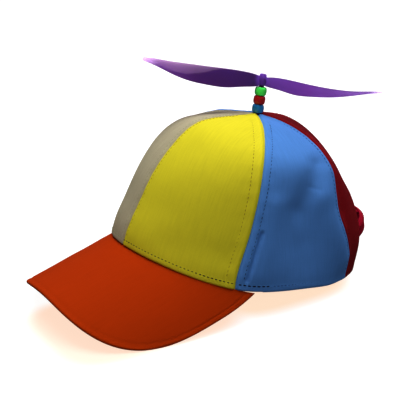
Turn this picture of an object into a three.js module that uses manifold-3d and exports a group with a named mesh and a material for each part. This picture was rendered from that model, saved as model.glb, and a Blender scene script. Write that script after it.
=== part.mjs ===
// Cloth cap with six panels, a curved bill and a free-turning propeller on a short stem with three beads.
// Millimetres, +Z up. The bill points towards -Y and the wearer's left is +X.
// The cap rests as it does by itself: on the two side edges of the bill and on the back of the crown's rim,
// so the crown leans back. The origin is the middle of the underside of the whole object's box.
//
// The cloth is worked out in the cap's own frame: origin at the middle of the crown's rim, rim in the plane z = 0.
// A point of the crown is given by an angle, 0 at the front centre and positive towards the wearer's left,
// and by t, which runs from 0 at the rim to 1 at the top button point.
import * as THREE from "three";
import { mergeVertices } from "three/addons/utils/BufferGeometryUtils.js";
import Module from "manifold-3d";

// ---------- driving dimensions ----------
const GAP = 0.3; // between neighbouring pieces
const RIM_GAP = 0.6; // between the crown's rim and the bill under it
const CLOTH = 1.6; // panel wall: twill, turned seam allowance and tape

// crown
const HALF_WIDTH = 82.6; // rim ellipse, side to side
const FRONT = 102.3; // rim centre to front
const BACK = 97.3; // rim centre to back
const CROWN_HEIGHT = 113.8;
const TOP_SHIFT = -0.35; // top point, forward of the rim's middle
const TOP_HOLE = 2.7; // radius of the hole that the stem passes through

// how it rests
const REST_TILT = 11.07; // degrees that the crown leans back
const REST_Y = 24.6; // rim centre, from the middle of the object's box
const REST_Z = 15.72; // rim centre, above the surface

// bill: a sheet bent round an axis that slopes down and forward
const BILL_THICK = 3.0;
const BILL_SLOPE = 27.45; // degrees
const BILL_BEND = 92.9; // bend radius across
const BILL_LENGTH = 69.0; // front of the rim to the tip, along the slope
const BILL_HALF = 95.3; // half width along the bend
const BILL_BROAD = -25.0; // where it is broadest, along the slope
const BILL_ROUND = 3.0; // power of the outline curve
const BILL_RIM_Z = 11.3; // height of the bill's top where it meets the rim's front
const BILL_CORNER = 70.4; // angle of the bill's two corners on the rim
const BILL_TUCK = 2.0; // how far the bill runs in under the crown's wall
const BILL_EDGE = 1.0; // rounding of its outer edge

// back opening and closure straps
const ARCH_ANGLE = 30.0; // half width at the rim, degrees from the back centre
const ARCH_T = 0.38; // its top
const ARCH_POWER = 2.5; // power of the opening's curve
const STRAP_THICK = 1.8;

// stem, beads and propeller
const STEM_R = 1.9;
const STEM_HEAD_R = 6.5;
const STEM_HEAD = 1.0;
const BEAD_R = 4.5;
const BEAD_H = 6.35;
const BEAD_HOLE_R = 2.3;
const BEAD_COUNT_GAP = 0.3;
const HUB_R = 2.95;
const HUB_BOTTOM = 21.3; // above the crown's top point
const HUB_TOP = 29.9;
const HUB_BORE_R = 2.2;
const HUB_BORE_DEPTH = 5.6;
const BLADE_HEIGHT = 24.7; // height of the blades' root line above the crown's top point
const BLADE_YAW = 59.4; // degrees, how the propeller has come to stand
const BLADE_THICK = 1.5;

// ---------- tables ----------
// crown sections, as fractions of the rim's radius (r) and of the crown's height (z)
const CROWN = [
  { t: 0.0, front_r: 1.0, side_r: 1.0, back_r: 1.0, front_z: 0.0, side_z: 0.0, back_z: 0.0 },
  { t: 0.1082, front_r: 0.975, side_r: 0.994, back_r: 1.014, front_z: 0.16, side_z: 0.16, back_z: 0.16 },
  { t: 0.2171, front_r: 0.919, side_r: 0.961, back_r: 0.997, front_z: 0.32, side_z: 0.32, back_z: 0.32 },
  { t: 0.3286, front_r: 0.862, side_r: 0.926, back_r: 0.9, front_z: 0.48, side_z: 0.48, back_z: 0.48 },
  { t: 0.4392, front_r: 0.788, side_r: 0.888, back_r: 0.748, front_z: 0.63, side_z: 0.63, back_z: 0.63 },
  { t: 0.5462, front_r: 0.697, side_r: 0.815, back_r: 0.595, front_z: 0.76, side_z: 0.76, back_z: 0.76 },
  { t: 0.6899, front_r: 0.504, side_r: 0.65, back_r: 0.384, front_z: 0.923, side_z: 0.861, back_z: 0.941 },
  { t: 0.7924, front_r: 0.309, side_r: 0.482, back_r: 0.314, front_z: 0.964, side_z: 0.919, back_z: 0.98 },
  { t: 0.8982, front_r: 0.185, side_r: 0.281, back_r: 0.201, front_z: 0.978, side_z: 0.968, back_z: 1.0 },
  { t: 1.0, front_r: 0.0, side_r: 0.0, back_r: 0.0, front_z: 1.0, side_z: 1.0, back_z: 1.0 },
];
// height of the rim behind the bill's corners
const RIM = [
  { angle: 90, z: 0.6 },
  { angle: 120, z: 0.5 },
  { angle: 150, z: -1.1 },
  { angle: 180, z: -1.1 },
];
// seam angles, degrees from the front centre
const SEAMS = [
  { t: 0.0, front: 61.6, back_left: 125.9, back_right: 124.8 },
  { t: 0.12, front: 62.3, back_left: 124.0, back_right: 123.6 },
  { t: 0.18, front: 63.4, back_left: 121.6, back_right: 122.9 },
  { t: 0.26, front: 64.7, back_left: 117.1, back_right: 122.1 },
  { t: 0.34, front: 65.6, back_left: 114.5, back_right: 121.3 },
  { t: 0.42, front: 66.4, back_left: 114.8, back_right: 120.5 },
  { t: 0.5, front: 66.8, back_left: 116.1, back_right: 119.6 },
  { t: 0.64, front: 67.6, back_left: 116.6, back_right: 118.2 },
  { t: 0.82, front: 69.8, back_left: 119.6, back_right: 117.5 },
  { t: 1.0, front: 71.5, back_left: 124.9, back_right: 117.5 },
];
// dents (depth over 0) and swells (depth under 0) of the cloth, each along a line from one point of the crown to another
const FOLDS = [
  { name: "side hollow, upper", a0: 100.5, t0: 0.57, a1: 96.0, t1: 0.4, depth: 4.2, width: 9.0 },
  { name: "side hollow, lower", a0: 95.0, t0: 0.36, a1: 94.0, t1: 0.13, depth: 2.6, width: 11.0 },
  { name: "side broad hollow", a0: 86.0, t0: 0.42, a1: 88.0, t1: 0.22, depth: 1.6, width: 15.0 },
  { name: "side ridge", a0: 107.5, t0: 0.5, a1: 119.0, t1: 0.19, depth: -2.4, width: 8.0 },
  { name: "swell behind the front seam", a0: 74.5, t0: 0.38, a1: 71.0, t1: 0.08, depth: -1.4, width: 6.5 },
  { name: "seam hollow at the back", a0: 118.0, t0: 0.44, a1: 118.0, t1: 0.33, depth: 1.6, width: 7.0 },
  { name: "hem flare at the back left", a0: 150.0, t0: 0.0, a1: 140.0, t1: 0.14, depth: -1.7, width: 15.0 },
  { name: "hem flare at the back right", a0: -150.0, t0: 0.0, a1: -140.0, t1: 0.14, depth: -1.7, width: 15.0 },
  { name: "swell of the back edge", a0: 146.0, t0: 0.36, a1: 146.0, t1: 0.16, depth: -1.0, width: 9.0 },
  { name: "swell of the right side", a0: -74.0, t0: 0.6, a1: -80.0, t1: 0.8, depth: -2.4, width: 14.0 },
  { name: "soft hollow of the right side", a0: -97.0, t0: 0.42, a1: -95.0, t1: 0.15, depth: 2.2, width: 13.0 },
];
// centre line of the closure: angle from the back centre, how far out of the rim's ellipse, how far above the rim
const CLOSURE = [
  { angle: 0.0, out: 8.8, rise: 30.5 },
  { angle: 7.0, out: 9.2, rise: 30.1 },
  { angle: 13.0, out: 8.6, rise: 28.7 },
  { angle: 19.0, out: 6.0, rise: 25.3 },
  { angle: 22.0, out: 3.9, rise: 22.8 },
  { angle: 25.0, out: 0.3, rise: 20.3 },
  { angle: 28.0, out: -2.6, rise: 17.7 },
  { angle: 34.0, out: -3.5, rise: 14.3 },
  { angle: 42.0, out: -3.5, rise: 13.3 },
];
// section of a strap: height over its middle, and how far its outer face swells
const STRAP_SECTION = [
  { up: -10.8, swell: -2.2 },
  { up: -9.7, swell: -0.8 },
  { up: -7.4, swell: -0.5 },
  { up: -4.9, swell: -0.6 },
  { up: -3.0, swell: -0.6 },
  { up: -1.1, swell: 0.2 },
  { up: 2.2, swell: 1.8 },
  { up: 5.4, swell: 1.1 },
  { up: 8.4, swell: 0.6 },
  { up: 10.1, swell: -0.7 },
  { up: 10.8, swell: -2.4 },
];
const STRAPS = [
  { name: "strap_left", side: 1, from: 41, to: -15, lift: 0.2, out: STRAP_THICK + 0.8 },
  { name: "strap_right", side: -1, from: 41, to: -13, lift: -0.2, out: 0 },
];
// propeller blade: distance from the axis, chord, pitch, how far the chord's middle leads, and how far it rises
const BLADE = [
  { r: 2.0, chord: 8.5, pitch: -52.0, lead: 0.0, rise: -0.4 },
  { r: 7.0, chord: 11.6, pitch: -48.5, lead: 0.0, rise: -0.5 },
  { r: 14.0, chord: 14.6, pitch: -43.6, lead: -0.6, rise: -0.8 },
  { r: 26.0, chord: 19.9, pitch: -36.3, lead: -2.6, rise: -2.0 },
  { r: 40.0, chord: 24.2, pitch: -27.1, lead: -3.4, rise: -2.3 },
  { r: 55.0, chord: 25.9, pitch: -21.1, lead: -3.2, rise: -1.7 },
  { r: 70.0, chord: 19.8, pitch: -18.0, lead: -2.4, rise: 0.2 },
  { r: 82.0, chord: 12.0, pitch: -16.2, lead: -1.6, rise: 2.5 },
  { r: 89.0, chord: 6.6, pitch: -15.0, lead: -0.6, rise: 3.5 },
  { r: 91.6, chord: 2.4, pitch: -14.5, lead: 0.0, rise: 3.8 },
];
const BEADS = [
  { name: "bead_blue", color: 0x1a6fa3 },
  { name: "bead_red", color: 0xa01218 },
  { name: "bead_green", color: 0x2fc043 },
];

// ---------- small mathematics ----------
const RAD = Math.PI / 180;
const clamp = (v, a, b) => Math.min(b, Math.max(a, v));

// Cubic spline through points. An end with no slope given follows the cubic of its neighbours.
function spline(xs, ys, slopeStart = null, slopeEnd = null) {
  const n = xs.length;
  const A = Array.from({ length: n }, () => new Array(n + 1).fill(0));
  const h = xs.slice(1).map((x, i) => x - xs[i]);
  const d = ys.slice(1).map((y, i) => (y - ys[i]) / h[i]);
  for (let i = 1; i < n - 1; i++) {
    A[i][i - 1] = h[i - 1];
    A[i][i] = 2 * (h[i - 1] + h[i]);
    A[i][i + 1] = h[i];
    A[i][n] = 6 * (d[i] - d[i - 1]);
  }
  if (slopeStart === null) {
    A[0][0] = h[1];
    A[0][1] = -(h[0] + h[1]);
    A[0][2] = h[0];
  } else {
    A[0][0] = 2 * h[0];
    A[0][1] = h[0];
    A[0][n] = 6 * (d[0] - slopeStart);
  }
  if (slopeEnd === null) {
    A[n - 1][n - 3] = h[n - 2];
    A[n - 1][n - 2] = -(h[n - 3] + h[n - 2]);
    A[n - 1][n - 1] = h[n - 3];
  } else {
    A[n - 1][n - 1] = 2 * h[n - 2];
    A[n - 1][n - 2] = h[n - 2];
    A[n - 1][n] = 6 * (slopeEnd - d[n - 2]);
  }
  for (let c = 0; c < n; c++) {
    let p = c;
    for (let r = c + 1; r < n; r++)
      if (Math.abs(A[r][c]) > Math.abs(A[p][c])) p = r;
    [A[c], A[p]] = [A[p], A[c]];
    for (let r = c + 1; r < n; r++) {
      const f = A[r][c] / A[c][c];
      if (f) for (let k = c; k <= n; k++) A[r][k] -= f * A[c][k];
    }
  }
  const m = new Array(n).fill(0);
  for (let r = n - 1; r >= 0; r--) {
    let s = A[r][n];
    for (let k = r + 1; k < n; k++) s -= A[r][k] * m[k];
    m[r] = s / A[r][r];
  }
  return (x) => {
    let i = 0;
    while (i < n - 2 && x > xs[i + 1]) i++;
    const a = (xs[i + 1] - x) / h[i];
    const b = 1 - a;
    return (
      a * ys[i] +
      b * ys[i + 1] +
      (((a * a * a - a) * m[i] + (b * b * b - b) * m[i + 1]) * h[i] * h[i]) / 6
    );
  };
}
const column = (table, x, y) =>
  spline(
    table.map((row) => row[x]),
    table.map((row) => row[y]),
  );

// ---------- crown ----------
const section = {};
for (const key of ["front_r", "side_r", "back_r", "front_z", "side_z", "back_z"])
  section[key] = column(CROWN, "t", key);
const seam = {
  front: column(SEAMS, "t", "front"),
  back_left: column(SEAMS, "t", "back_left"),
  back_right: column(SEAMS, "t", "back_right"),
};

const slopeC = Math.cos(BILL_SLOPE * RAD);
const slopeS = Math.sin(BILL_SLOPE * RAD);
// top of the bill: s across along the bend, l forward along the slope
function billPoint(s, l) {
  const x = BILL_BEND * Math.sin(s / BILL_BEND);
  const drop = BILL_BEND * (1 - Math.cos(s / BILL_BEND));
  return new THREE.Vector3(
    x,
    -FRONT - l * slopeC + drop * slopeS,
    BILL_RIM_Z - l * slopeS - drop * slopeC,
  );
}
function billNormal(s) {
  const a = s / BILL_BEND;
  return new THREE.Vector3(
    Math.sin(a),
    -slopeS * Math.cos(a),
    slopeC * Math.cos(a),
  );
}
// the bill's own coordinates under a point of the plan
function billCoordinates(x, y) {
  const drop = BILL_BEND - Math.sqrt(BILL_BEND ** 2 - x * x);
  return {
    s: BILL_BEND * Math.asin(x / BILL_BEND),
    l: (-FRONT - y + drop * slopeS) / slopeC,
    z: BILL_RIM_Z - ((-FRONT - y + drop * slopeS) / slopeC) * slopeS - drop * slopeC,
  };
}
const rimX = (a) => HALF_WIDTH * Math.sin(a);
const rimY = (a) => (Math.cos(a) > 0 ? -FRONT : -BACK) * Math.cos(a);
const rimOnBill = (a) => billCoordinates(rimX(a), rimY(a)).z;
const cornerA = BILL_CORNER * RAD;
const rimBehind = spline(
  [cornerA, ...RIM.map((row) => row.angle * RAD)],
  [rimOnBill(cornerA), ...RIM.map((row) => row.z)],
  (rimOnBill(cornerA) - rimOnBill(cornerA - 1e-3)) / 1e-3,
  0,
);
function rimHeight(angle) {
  const a = Math.abs(angle);
  return (a < cornerA ? rimOnBill(a) : rimBehind(a)) + RIM_GAP;
}
// plain crown surface, before folds
function crownPlain(angle, t) {
  const c = Math.cos(angle);
  const front = c > 0 ? c * c : 0;
  const back = c < 0 ? c * c : 0;
  const mix = (k) => {
    const side = section["side_" + k](t);
    return (
      side +
      (section["front_" + k](t) - side) * front +
      (section["back_" + k](t) - side) * back
    );
  };
  const r = mix("r");
  const z0 = rimHeight(angle);
  return new THREE.Vector3(
    rimX(angle) * r,
    TOP_SHIFT + (rimY(angle) - TOP_SHIFT) * r,
    z0 + (CROWN_HEIGHT - z0) * mix("z"),
  );
}
function normalOf(surface, angle, t) {
  const e = 2e-3;
  const t0 = clamp(t - e, 0, 1);
  const t1 = clamp(t + e, 0, 1);
  const across = surface(angle + e, t).sub(surface(angle - e, t));
  const up = surface(angle, t1).sub(surface(angle, t0));
  return across.cross(up).normalize();
}
const MERIDIAN = 168; // length of the crown from rim to top
function foldDepth(angle, t) {
  const scale = 88 * section.side_r(t) * RAD;
  let sum = 0;
  for (const f of FOLDS) {
    const px = (angle / RAD - f.a0) * scale;
    const py = (t - f.t0) * MERIDIAN;
    const dx = (f.a1 - f.a0) * scale;
    const dy = (f.t1 - f.t0) * MERIDIAN;
    const k = clamp((px * dx + py * dy) / (dx * dx + dy * dy), 0, 1);
    const dist = Math.hypot(px - k * dx, py - k * dy);
    sum += f.depth * Math.exp(-((dist / f.width) ** 2));
  }
  return sum;
}
function crown(angle, t) {
  const depth = foldDepth(angle, t);
  const p = crownPlain(angle, t);
  if (Math.abs(depth) < 1e-3) return p;
  return p.addScaledVector(normalOf(crownPlain, angle, t), -depth);
}
// A point of the wall: depth 0 outside, CLOTH inside. Over the bill the wall ends on the bill's slope.
function wallPoint(angle, t, depth) {
  const p = crown(angle, t).addScaledVector(normalOf(crown, angle, t), -depth);
  if (t === 0) {
    if (Math.abs(angle) < cornerA + 0.06) p.z = billCoordinates(p.x, p.y).z + RIM_GAP;
    else p.z = rimHeight(angle);
  }
  return p;
}

// ---------- at rest on a surface ----------
const REST = new THREE.Matrix4()
  .makeTranslation(0, REST_Y, REST_Z)
  .multiply(new THREE.Matrix4().makeRotationX(-REST_TILT * RAD));
// cloth that would reach under the surface lies flat on it
function rested(p) {
  p.applyMatrix4(REST);
  if (p.z < 0) p.z = 0;
  return p;
}

// ---------- mesh building ----------
function geometryFrom(points, faces) {
  const g = new THREE.BufferGeometry();
  g.setAttribute(
    "position",
    new THREE.Float32BufferAttribute(points.flatMap((p) => [p.x, p.y, p.z]), 3),
  );
  g.setIndex(faces.flat());
  g.computeVertexNormals();
  return g;
}
// A wall between an outer and an inner grid of (nu + 1) x (nv + 1) points.
function shell(outer, inner, nu, nv) {
  const points = [...outer, ...inner];
  const n = outer.length;
  const faces = [];
  const id = (i, j) => j * (nu + 1) + i;
  const quad = (a, b, c, d) => faces.push([a, b, c], [a, c, d]);
  for (let j = 0; j < nv; j++)
    for (let i = 0; i < nu; i++) {
      quad(id(i, j), id(i + 1, j), id(i + 1, j + 1), id(i, j + 1));
      quad(n + id(i, j), n + id(i, j + 1), n + id(i + 1, j + 1), n + id(i + 1, j));
    }
  for (let i = 0; i < nu; i++) {
    quad(id(i, 0), n + id(i, 0), n + id(i + 1, 0), id(i + 1, 0));
    quad(id(i, nv), id(i + 1, nv), n + id(i + 1, nv), n + id(i, nv));
  }
  for (let j = 0; j < nv; j++) {
    quad(id(0, j), id(0, j + 1), n + id(0, j + 1), n + id(0, j));
    quad(id(nu, j), n + id(nu, j), n + id(nu, j + 1), id(nu, j + 1));
  }
  return geometryFrom(points, faces);
}
// A body lofted through rings of equally many points, closed at both ends.
function loft(rings) {
  const m = rings[0].length;
  const points = rings.flat();
  const faces = [];
  for (let j = 0; j < rings.length - 1; j++)
    for (let i = 0; i < m; i++) {
      const k = (i + 1) % m;
      faces.push([j * m + i, j * m + k, (j + 1) * m + k]);
      faces.push([j * m + i, (j + 1) * m + k, (j + 1) * m + i]);
    }
  const cap = (j, flip) => {
    const centre = rings[j]
      .reduce((s, p) => s.add(p), new THREE.Vector3())
      .divideScalar(m);
    const c = points.push(centre) - 1;
    for (let i = 0; i < m; i++) {
      const a = j * m + i;
      const b = j * m + ((i + 1) % m);
      faces.push(flip ? [c, b, a] : [c, a, b]);
    }
  };
  cap(0, true);
  cap(rings.length - 1, false);
  return geometryFrom(points, faces);
}

const cap = new THREE.Group();
function add(parent, name, geometry, color, roughness, extra = {}) {
  const mesh = new THREE.Mesh(
    geometry,
    new THREE.MeshStandardMaterial({ color, roughness, metalness: 0, ...extra }),
  );
  mesh.name = name;
  parent.add(mesh);
  return mesh;
}

// ---------- the six panels ----------
const PANEL_ACROSS = 10;
const PANEL_UP = 18;
const T_TOP = (() => {
  let a = 0.9;
  let b = 1;
  for (let i = 0; i < 40; i++) {
    const m = (a + b) / 2;
    if (section.side_r(m) * HALF_WIDTH > TOP_HOLE) a = m;
    else b = m;
  }
  return a;
})();
function archEdge(t) {
  return t >= ARCH_T
    ? 180
    : 180 - ARCH_ANGLE * (1 - (t / ARCH_T) ** ARCH_POWER) ** (1 / ARCH_POWER);
}
const PANELS = [
  { name: "panel_front_left", from: () => 0, to: (t) => seam.front(t), color: 0xe6dc1e },
  { name: "panel_side_left", from: (t) => seam.front(t), to: (t) => seam.back_left(t), color: 0x3f78c4 },
  { name: "panel_back_left", from: (t) => seam.back_left(t), to: archEdge, color: 0x5c090d, arch: true },
  { name: "panel_front_right", from: (t) => -seam.front(t), to: () => 0, color: 0xa59d8a },
  { name: "panel_side_right", from: (t) => -seam.back_right(t), to: (t) => -seam.front(t), color: 0x3f78c4 },
  { name: "panel_back_right", from: (t) => -archEdge(t), to: (t) => -seam.back_right(t), color: 0x5c090d, arch: true },
];
// the same rows in every panel, so that neighbours keep their gap; they close up towards the top of the arch
const ARCH_ROWS = 8;
const rows = [];
for (let j = 0; j <= PANEL_UP; j++)
  rows.push(
    j <= ARCH_ROWS
      ? ARCH_T * Math.sin(((j / ARCH_ROWS) * Math.PI) / 2)
      : ARCH_T + ((T_TOP - ARCH_T) * (j - ARCH_ROWS)) / (PANEL_UP - ARCH_ROWS),
  );
for (const panel of PANELS) {
  const outer = [];
  const inner = [];
  for (const t of rows) {
    const perDegree = crownPlain(panel.from(t) * RAD + RAD, t).distanceTo(
      crownPlain(panel.from(t) * RAD, t),
    );
    const half = GAP / 2 / perDegree;
    const openLeft = panel.arch && panel.from(t) < 0 && t < ARCH_T;
    const openRight = panel.arch && panel.to(t) > 0 && t < ARCH_T;
    const from = (panel.from(t) + (openLeft ? 0 : half)) * RAD;
    const to = (panel.to(t) - (openRight ? 0 : half)) * RAD;
    for (let i = 0; i <= PANEL_ACROSS; i++) {
      const angle = from + ((to - from) * i) / PANEL_ACROSS;
      outer.push(rested(wallPoint(angle, t, 0)));
      inner.push(rested(wallPoint(angle, t, CLOTH)));
    }
  }
  add(cap, panel.name, shell(outer, inner, PANEL_ACROSS, PANEL_UP), panel.color, 0.9);
}

// ---------- the bill ----------
const BILL_SIDE = 4; // steps from a corner to the broadest place
const BILL_CURVE = 11; // steps from there to the front centre
const BILL_DEEP = 6; // steps from the crown to the outer edge
{
  const corner = billCoordinates(rimX(cornerA), rimY(cornerA));
  const half = [];
  for (let k = 0; k < BILL_SIDE; k++) {
    const l = corner.l + ((BILL_BROAD - corner.l) * k) / BILL_SIDE;
    const q = (BILL_BROAD - l) / (BILL_BROAD - corner.l);
    half.push({ s: BILL_HALF - (BILL_HALF - corner.s) * q * q, l });
  }
  for (let k = 0; k <= BILL_CURVE; k++) {
    const a = ((k / BILL_CURVE) ** 0.9 * Math.PI) / 2;
    half.push({
      s: BILL_HALF * Math.max(0, Math.cos(a)) ** (2 / BILL_ROUND),
      l: BILL_BROAD + (BILL_LENGTH - BILL_BROAD) * Math.sin(a) ** (2 / BILL_ROUND),
    });
  }
  half[half.length - 1].s = 0;
  const outline = [
    ...half.map((o) => ({ ...o })),
    ...half.slice(0, -1).reverse().map((o) => ({ s: -o.s, l: o.l })),
  ];
  const nu = outline.length - 1;
  const inside = outline.map((o, i) => {
    // the tuck runs out before the corners, where the bill stands steeply against the crown
    const k = 1 - (2 * i) / nu;
    const a = (cornerA - 2.5 * RAD) * k;
    const tuck = BILL_TUCK * (1 - Math.abs(k) ** 3) + GAP;
    const x = (HALF_WIDTH - tuck) * Math.sin(a);
    const y = -(FRONT - tuck) * Math.cos(a);
    return billCoordinates(x, y);
  });
  const top = [];
  const under = [];
  const edge = [];
  const normalDown = (s, l, depth) =>
    billPoint(s, l).addScaledVector(billNormal(s), -depth);
  for (let j = 0; j <= BILL_DEEP; j++)
    for (let i = 0; i <= nu; i++) {
      const reach = Math.hypot(outline[i].s - inside[i].s, outline[i].l - inside[i].l);
      const v = (j / BILL_DEEP) * Math.max(0.35, 1 - BILL_EDGE / reach);
      const s = inside[i].s + (outline[i].s - inside[i].s) * v;
      const l = inside[i].l + (outline[i].l - inside[i].l) * v;
      top.push(rested(normalDown(s, l, 0)));
      under.push(rested(normalDown(s, l, BILL_THICK)));
    }
  for (let i = 0; i <= nu; i++)
    edge.push(rested(normalDown(outline[i].s, outline[i].l, BILL_THICK / 2)));
  // outer edge as one more row between top and underside
  const points = [...top, ...under, ...edge];
  const n = top.length;
  const faces = [];
  const id = (i, j) => j * (nu + 1) + i;
  const quad = (a, b, c, d) => faces.push([a, b, c], [a, c, d]);
  for (let j = 0; j < BILL_DEEP; j++)
    for (let i = 0; i < nu; i++) {
      quad(id(i, j), id(i + 1, j), id(i + 1, j + 1), id(i, j + 1));
      quad(n + id(i, j), n + id(i, j + 1), n + id(i + 1, j + 1), n + id(i + 1, j));
    }
  for (let i = 0; i < nu; i++) {
    quad(id(i, 0), n + id(i, 0), n + id(i + 1, 0), id(i + 1, 0));
    quad(id(i, BILL_DEEP), id(i + 1, BILL_DEEP), 2 * n + i + 1, 2 * n + i);
    quad(2 * n + i, 2 * n + i + 1, n + id(i + 1, BILL_DEEP), n + id(i, BILL_DEEP));
  }
  for (const i of [0, nu]) {
    // a ladder from top to underside, and a triangle at the outer edge
    for (let j = 0; j < BILL_DEEP; j++) {
      const a = id(i, j);
      const b = id(i, j + 1);
      const c = n + id(i, j + 1);
      const d = n + id(i, j);
      if (i === 0) quad(a, b, c, d);
      else quad(a, d, c, b);
    }
    const a = id(i, BILL_DEEP);
    const b = 2 * n + i;
    const c = n + id(i, BILL_DEEP);
    if (i === 0) faces.push([a, b, c]);
    else faces.push([a, c, b]);
  }
  add(cap, "bill", geometryFrom(points, faces), 0xb23a08, 0.85);
}

// ---------- closure straps ----------
const closureOut = column(CLOSURE, "angle", "out");
const closureRise = column(CLOSURE, "angle", "rise");
function closurePoint(fromBack, out) {
  // fromBack in degrees, positive towards the wearer's left
  const q = Math.abs(fromBack);
  const a = (180 - fromBack) * RAD;
  const normal = new THREE.Vector3(
    Math.sin(a) / HALF_WIDTH,
    -Math.cos(a) / BACK,
    0,
  ).normalize();
  return new THREE.Vector3(rimX(a), -BACK * Math.cos(a), closureRise(q)).addScaledVector(
    normal,
    closureOut(q) + out,
  );
}
const STRAP_STEPS = 16;
for (const strap of STRAPS) {
  const rings = [];
  for (let k = 0; k <= STRAP_STEPS; k++) {
    const along = strap.from + ((strap.to - strap.from) * k) / STRAP_STEPS;
    // the outer strap comes in to the crown's wall at its sewn end
    const ease = strap.out * clamp((30 - along) / 12, 0, 1);
    const at = along * strap.side;
    const centre = closurePoint(at, ease);
    const ahead = closurePoint(at + 0.2, ease).sub(closurePoint(at - 0.2, ease));
    const outward = new THREE.Vector3(-ahead.y, ahead.x, 0).normalize();
    if (outward.y < 0) outward.negate();
    const squeeze = clamp((30 - along) / 10, 0, 1); // flat where it is sewn in
    const ring = [];
    for (const row of STRAP_SECTION)
      ring.push(
        centre
          .clone()
          .addScaledVector(outward, row.swell * squeeze)
          .add(new THREE.Vector3(0, 0, row.up + strap.lift)),
      );
    for (const row of [...STRAP_SECTION].reverse())
      ring.push(
        centre
          .clone()
          .addScaledVector(outward, row.swell * squeeze - STRAP_THICK)
          .add(new THREE.Vector3(0, 0, row.up + strap.lift)),
      );
    if (strap.side > 0) ring.reverse();
    rings.push(ring.map(rested));
  }
  add(cap, strap.name, loft(rings), 0x98102c, 0.85);
}

// ---------- stem, beads and propeller, on the crown's own axis ----------
const post = new THREE.Group();
post.position.set(0, TOP_SHIFT, CROWN_HEIGHT).applyMatrix4(REST);
post.rotation.x = -REST_TILT * RAD;
cap.add(post);

const latheZ = (profile, segments) =>
  new THREE.LatheGeometry(
    profile.map(([r, z]) => new THREE.Vector2(r, z)),
    segments,
  ).rotateX(Math.PI / 2);
// The turned profiles run upwards on the outside.
{
  const head = -CLOTH - 1.1;
  const top = HUB_BOTTOM + HUB_BORE_DEPTH - 0.4;
  add(
    post,
    "stem",
    latheZ(
      [
        [0, head - STEM_HEAD],
        [STEM_HEAD_R, head - STEM_HEAD],
        [STEM_HEAD_R, head],
        [STEM_R, head],
        [STEM_R, top],
        [0, top],
      ],
      20,
    ),
    0x241830,
    0.45,
  );
}
let beadZ = GAP;
for (const bead of BEADS) {
  const h = BEAD_H / 2;
  const mesh = add(
    post,
    bead.name,
    latheZ(
      [
        [BEAD_HOLE_R, -h + 0.5],
        [BEAD_HOLE_R + 0.6, -h],
        [3.3, -h + 0.1],
        [4.15, -h + 0.9],
        [BEAD_R, -h + 2.3],
        [BEAD_R, h - 2.3],
        [4.15, h - 0.9],
        [3.3, h - 0.1],
        [BEAD_HOLE_R + 0.6, h],
        [BEAD_HOLE_R, h - 0.5],
        [BEAD_HOLE_R, -h + 0.5],
      ],
      20,
    ),
    bead.color,
    0.2,
  );
  mesh.position.z = beadZ + h;
  beadZ += BEAD_H + BEAD_COUNT_GAP;
}

// propeller: two lofted blades joined to a turned hub, with a blind bore from below
const wasm = await Module();
wasm.setup();
function solid(geometry) {
  const g = geometry.clone();
  for (const key of Object.keys(g.attributes))
    if (key !== "position") g.deleteAttribute(key);
  const merged = mergeVertices(g, 1e-4);
  return new wasm.Manifold(
    new wasm.Mesh({
      numProp: 3,
      vertProperties: merged.attributes.position.array,
      triVerts: new Uint32Array(merged.index.array),
    }),
  );
}
function geometryOf(manifold) {
  const m = manifold.getMesh();
  const xyz = [];
  for (let i = 0; i < m.numVert; i++)
    xyz.push(...m.vertProperties.subarray(i * m.numProp, i * m.numProp + 3));
  const g = new THREE.BufferGeometry();
  g.setAttribute("position", new THREE.Float32BufferAttribute(xyz, 3));
  g.setIndex([...m.triVerts]);
  g.computeVertexNormals();
  return g;
}
const BLADE_STEPS = 17;
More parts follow.
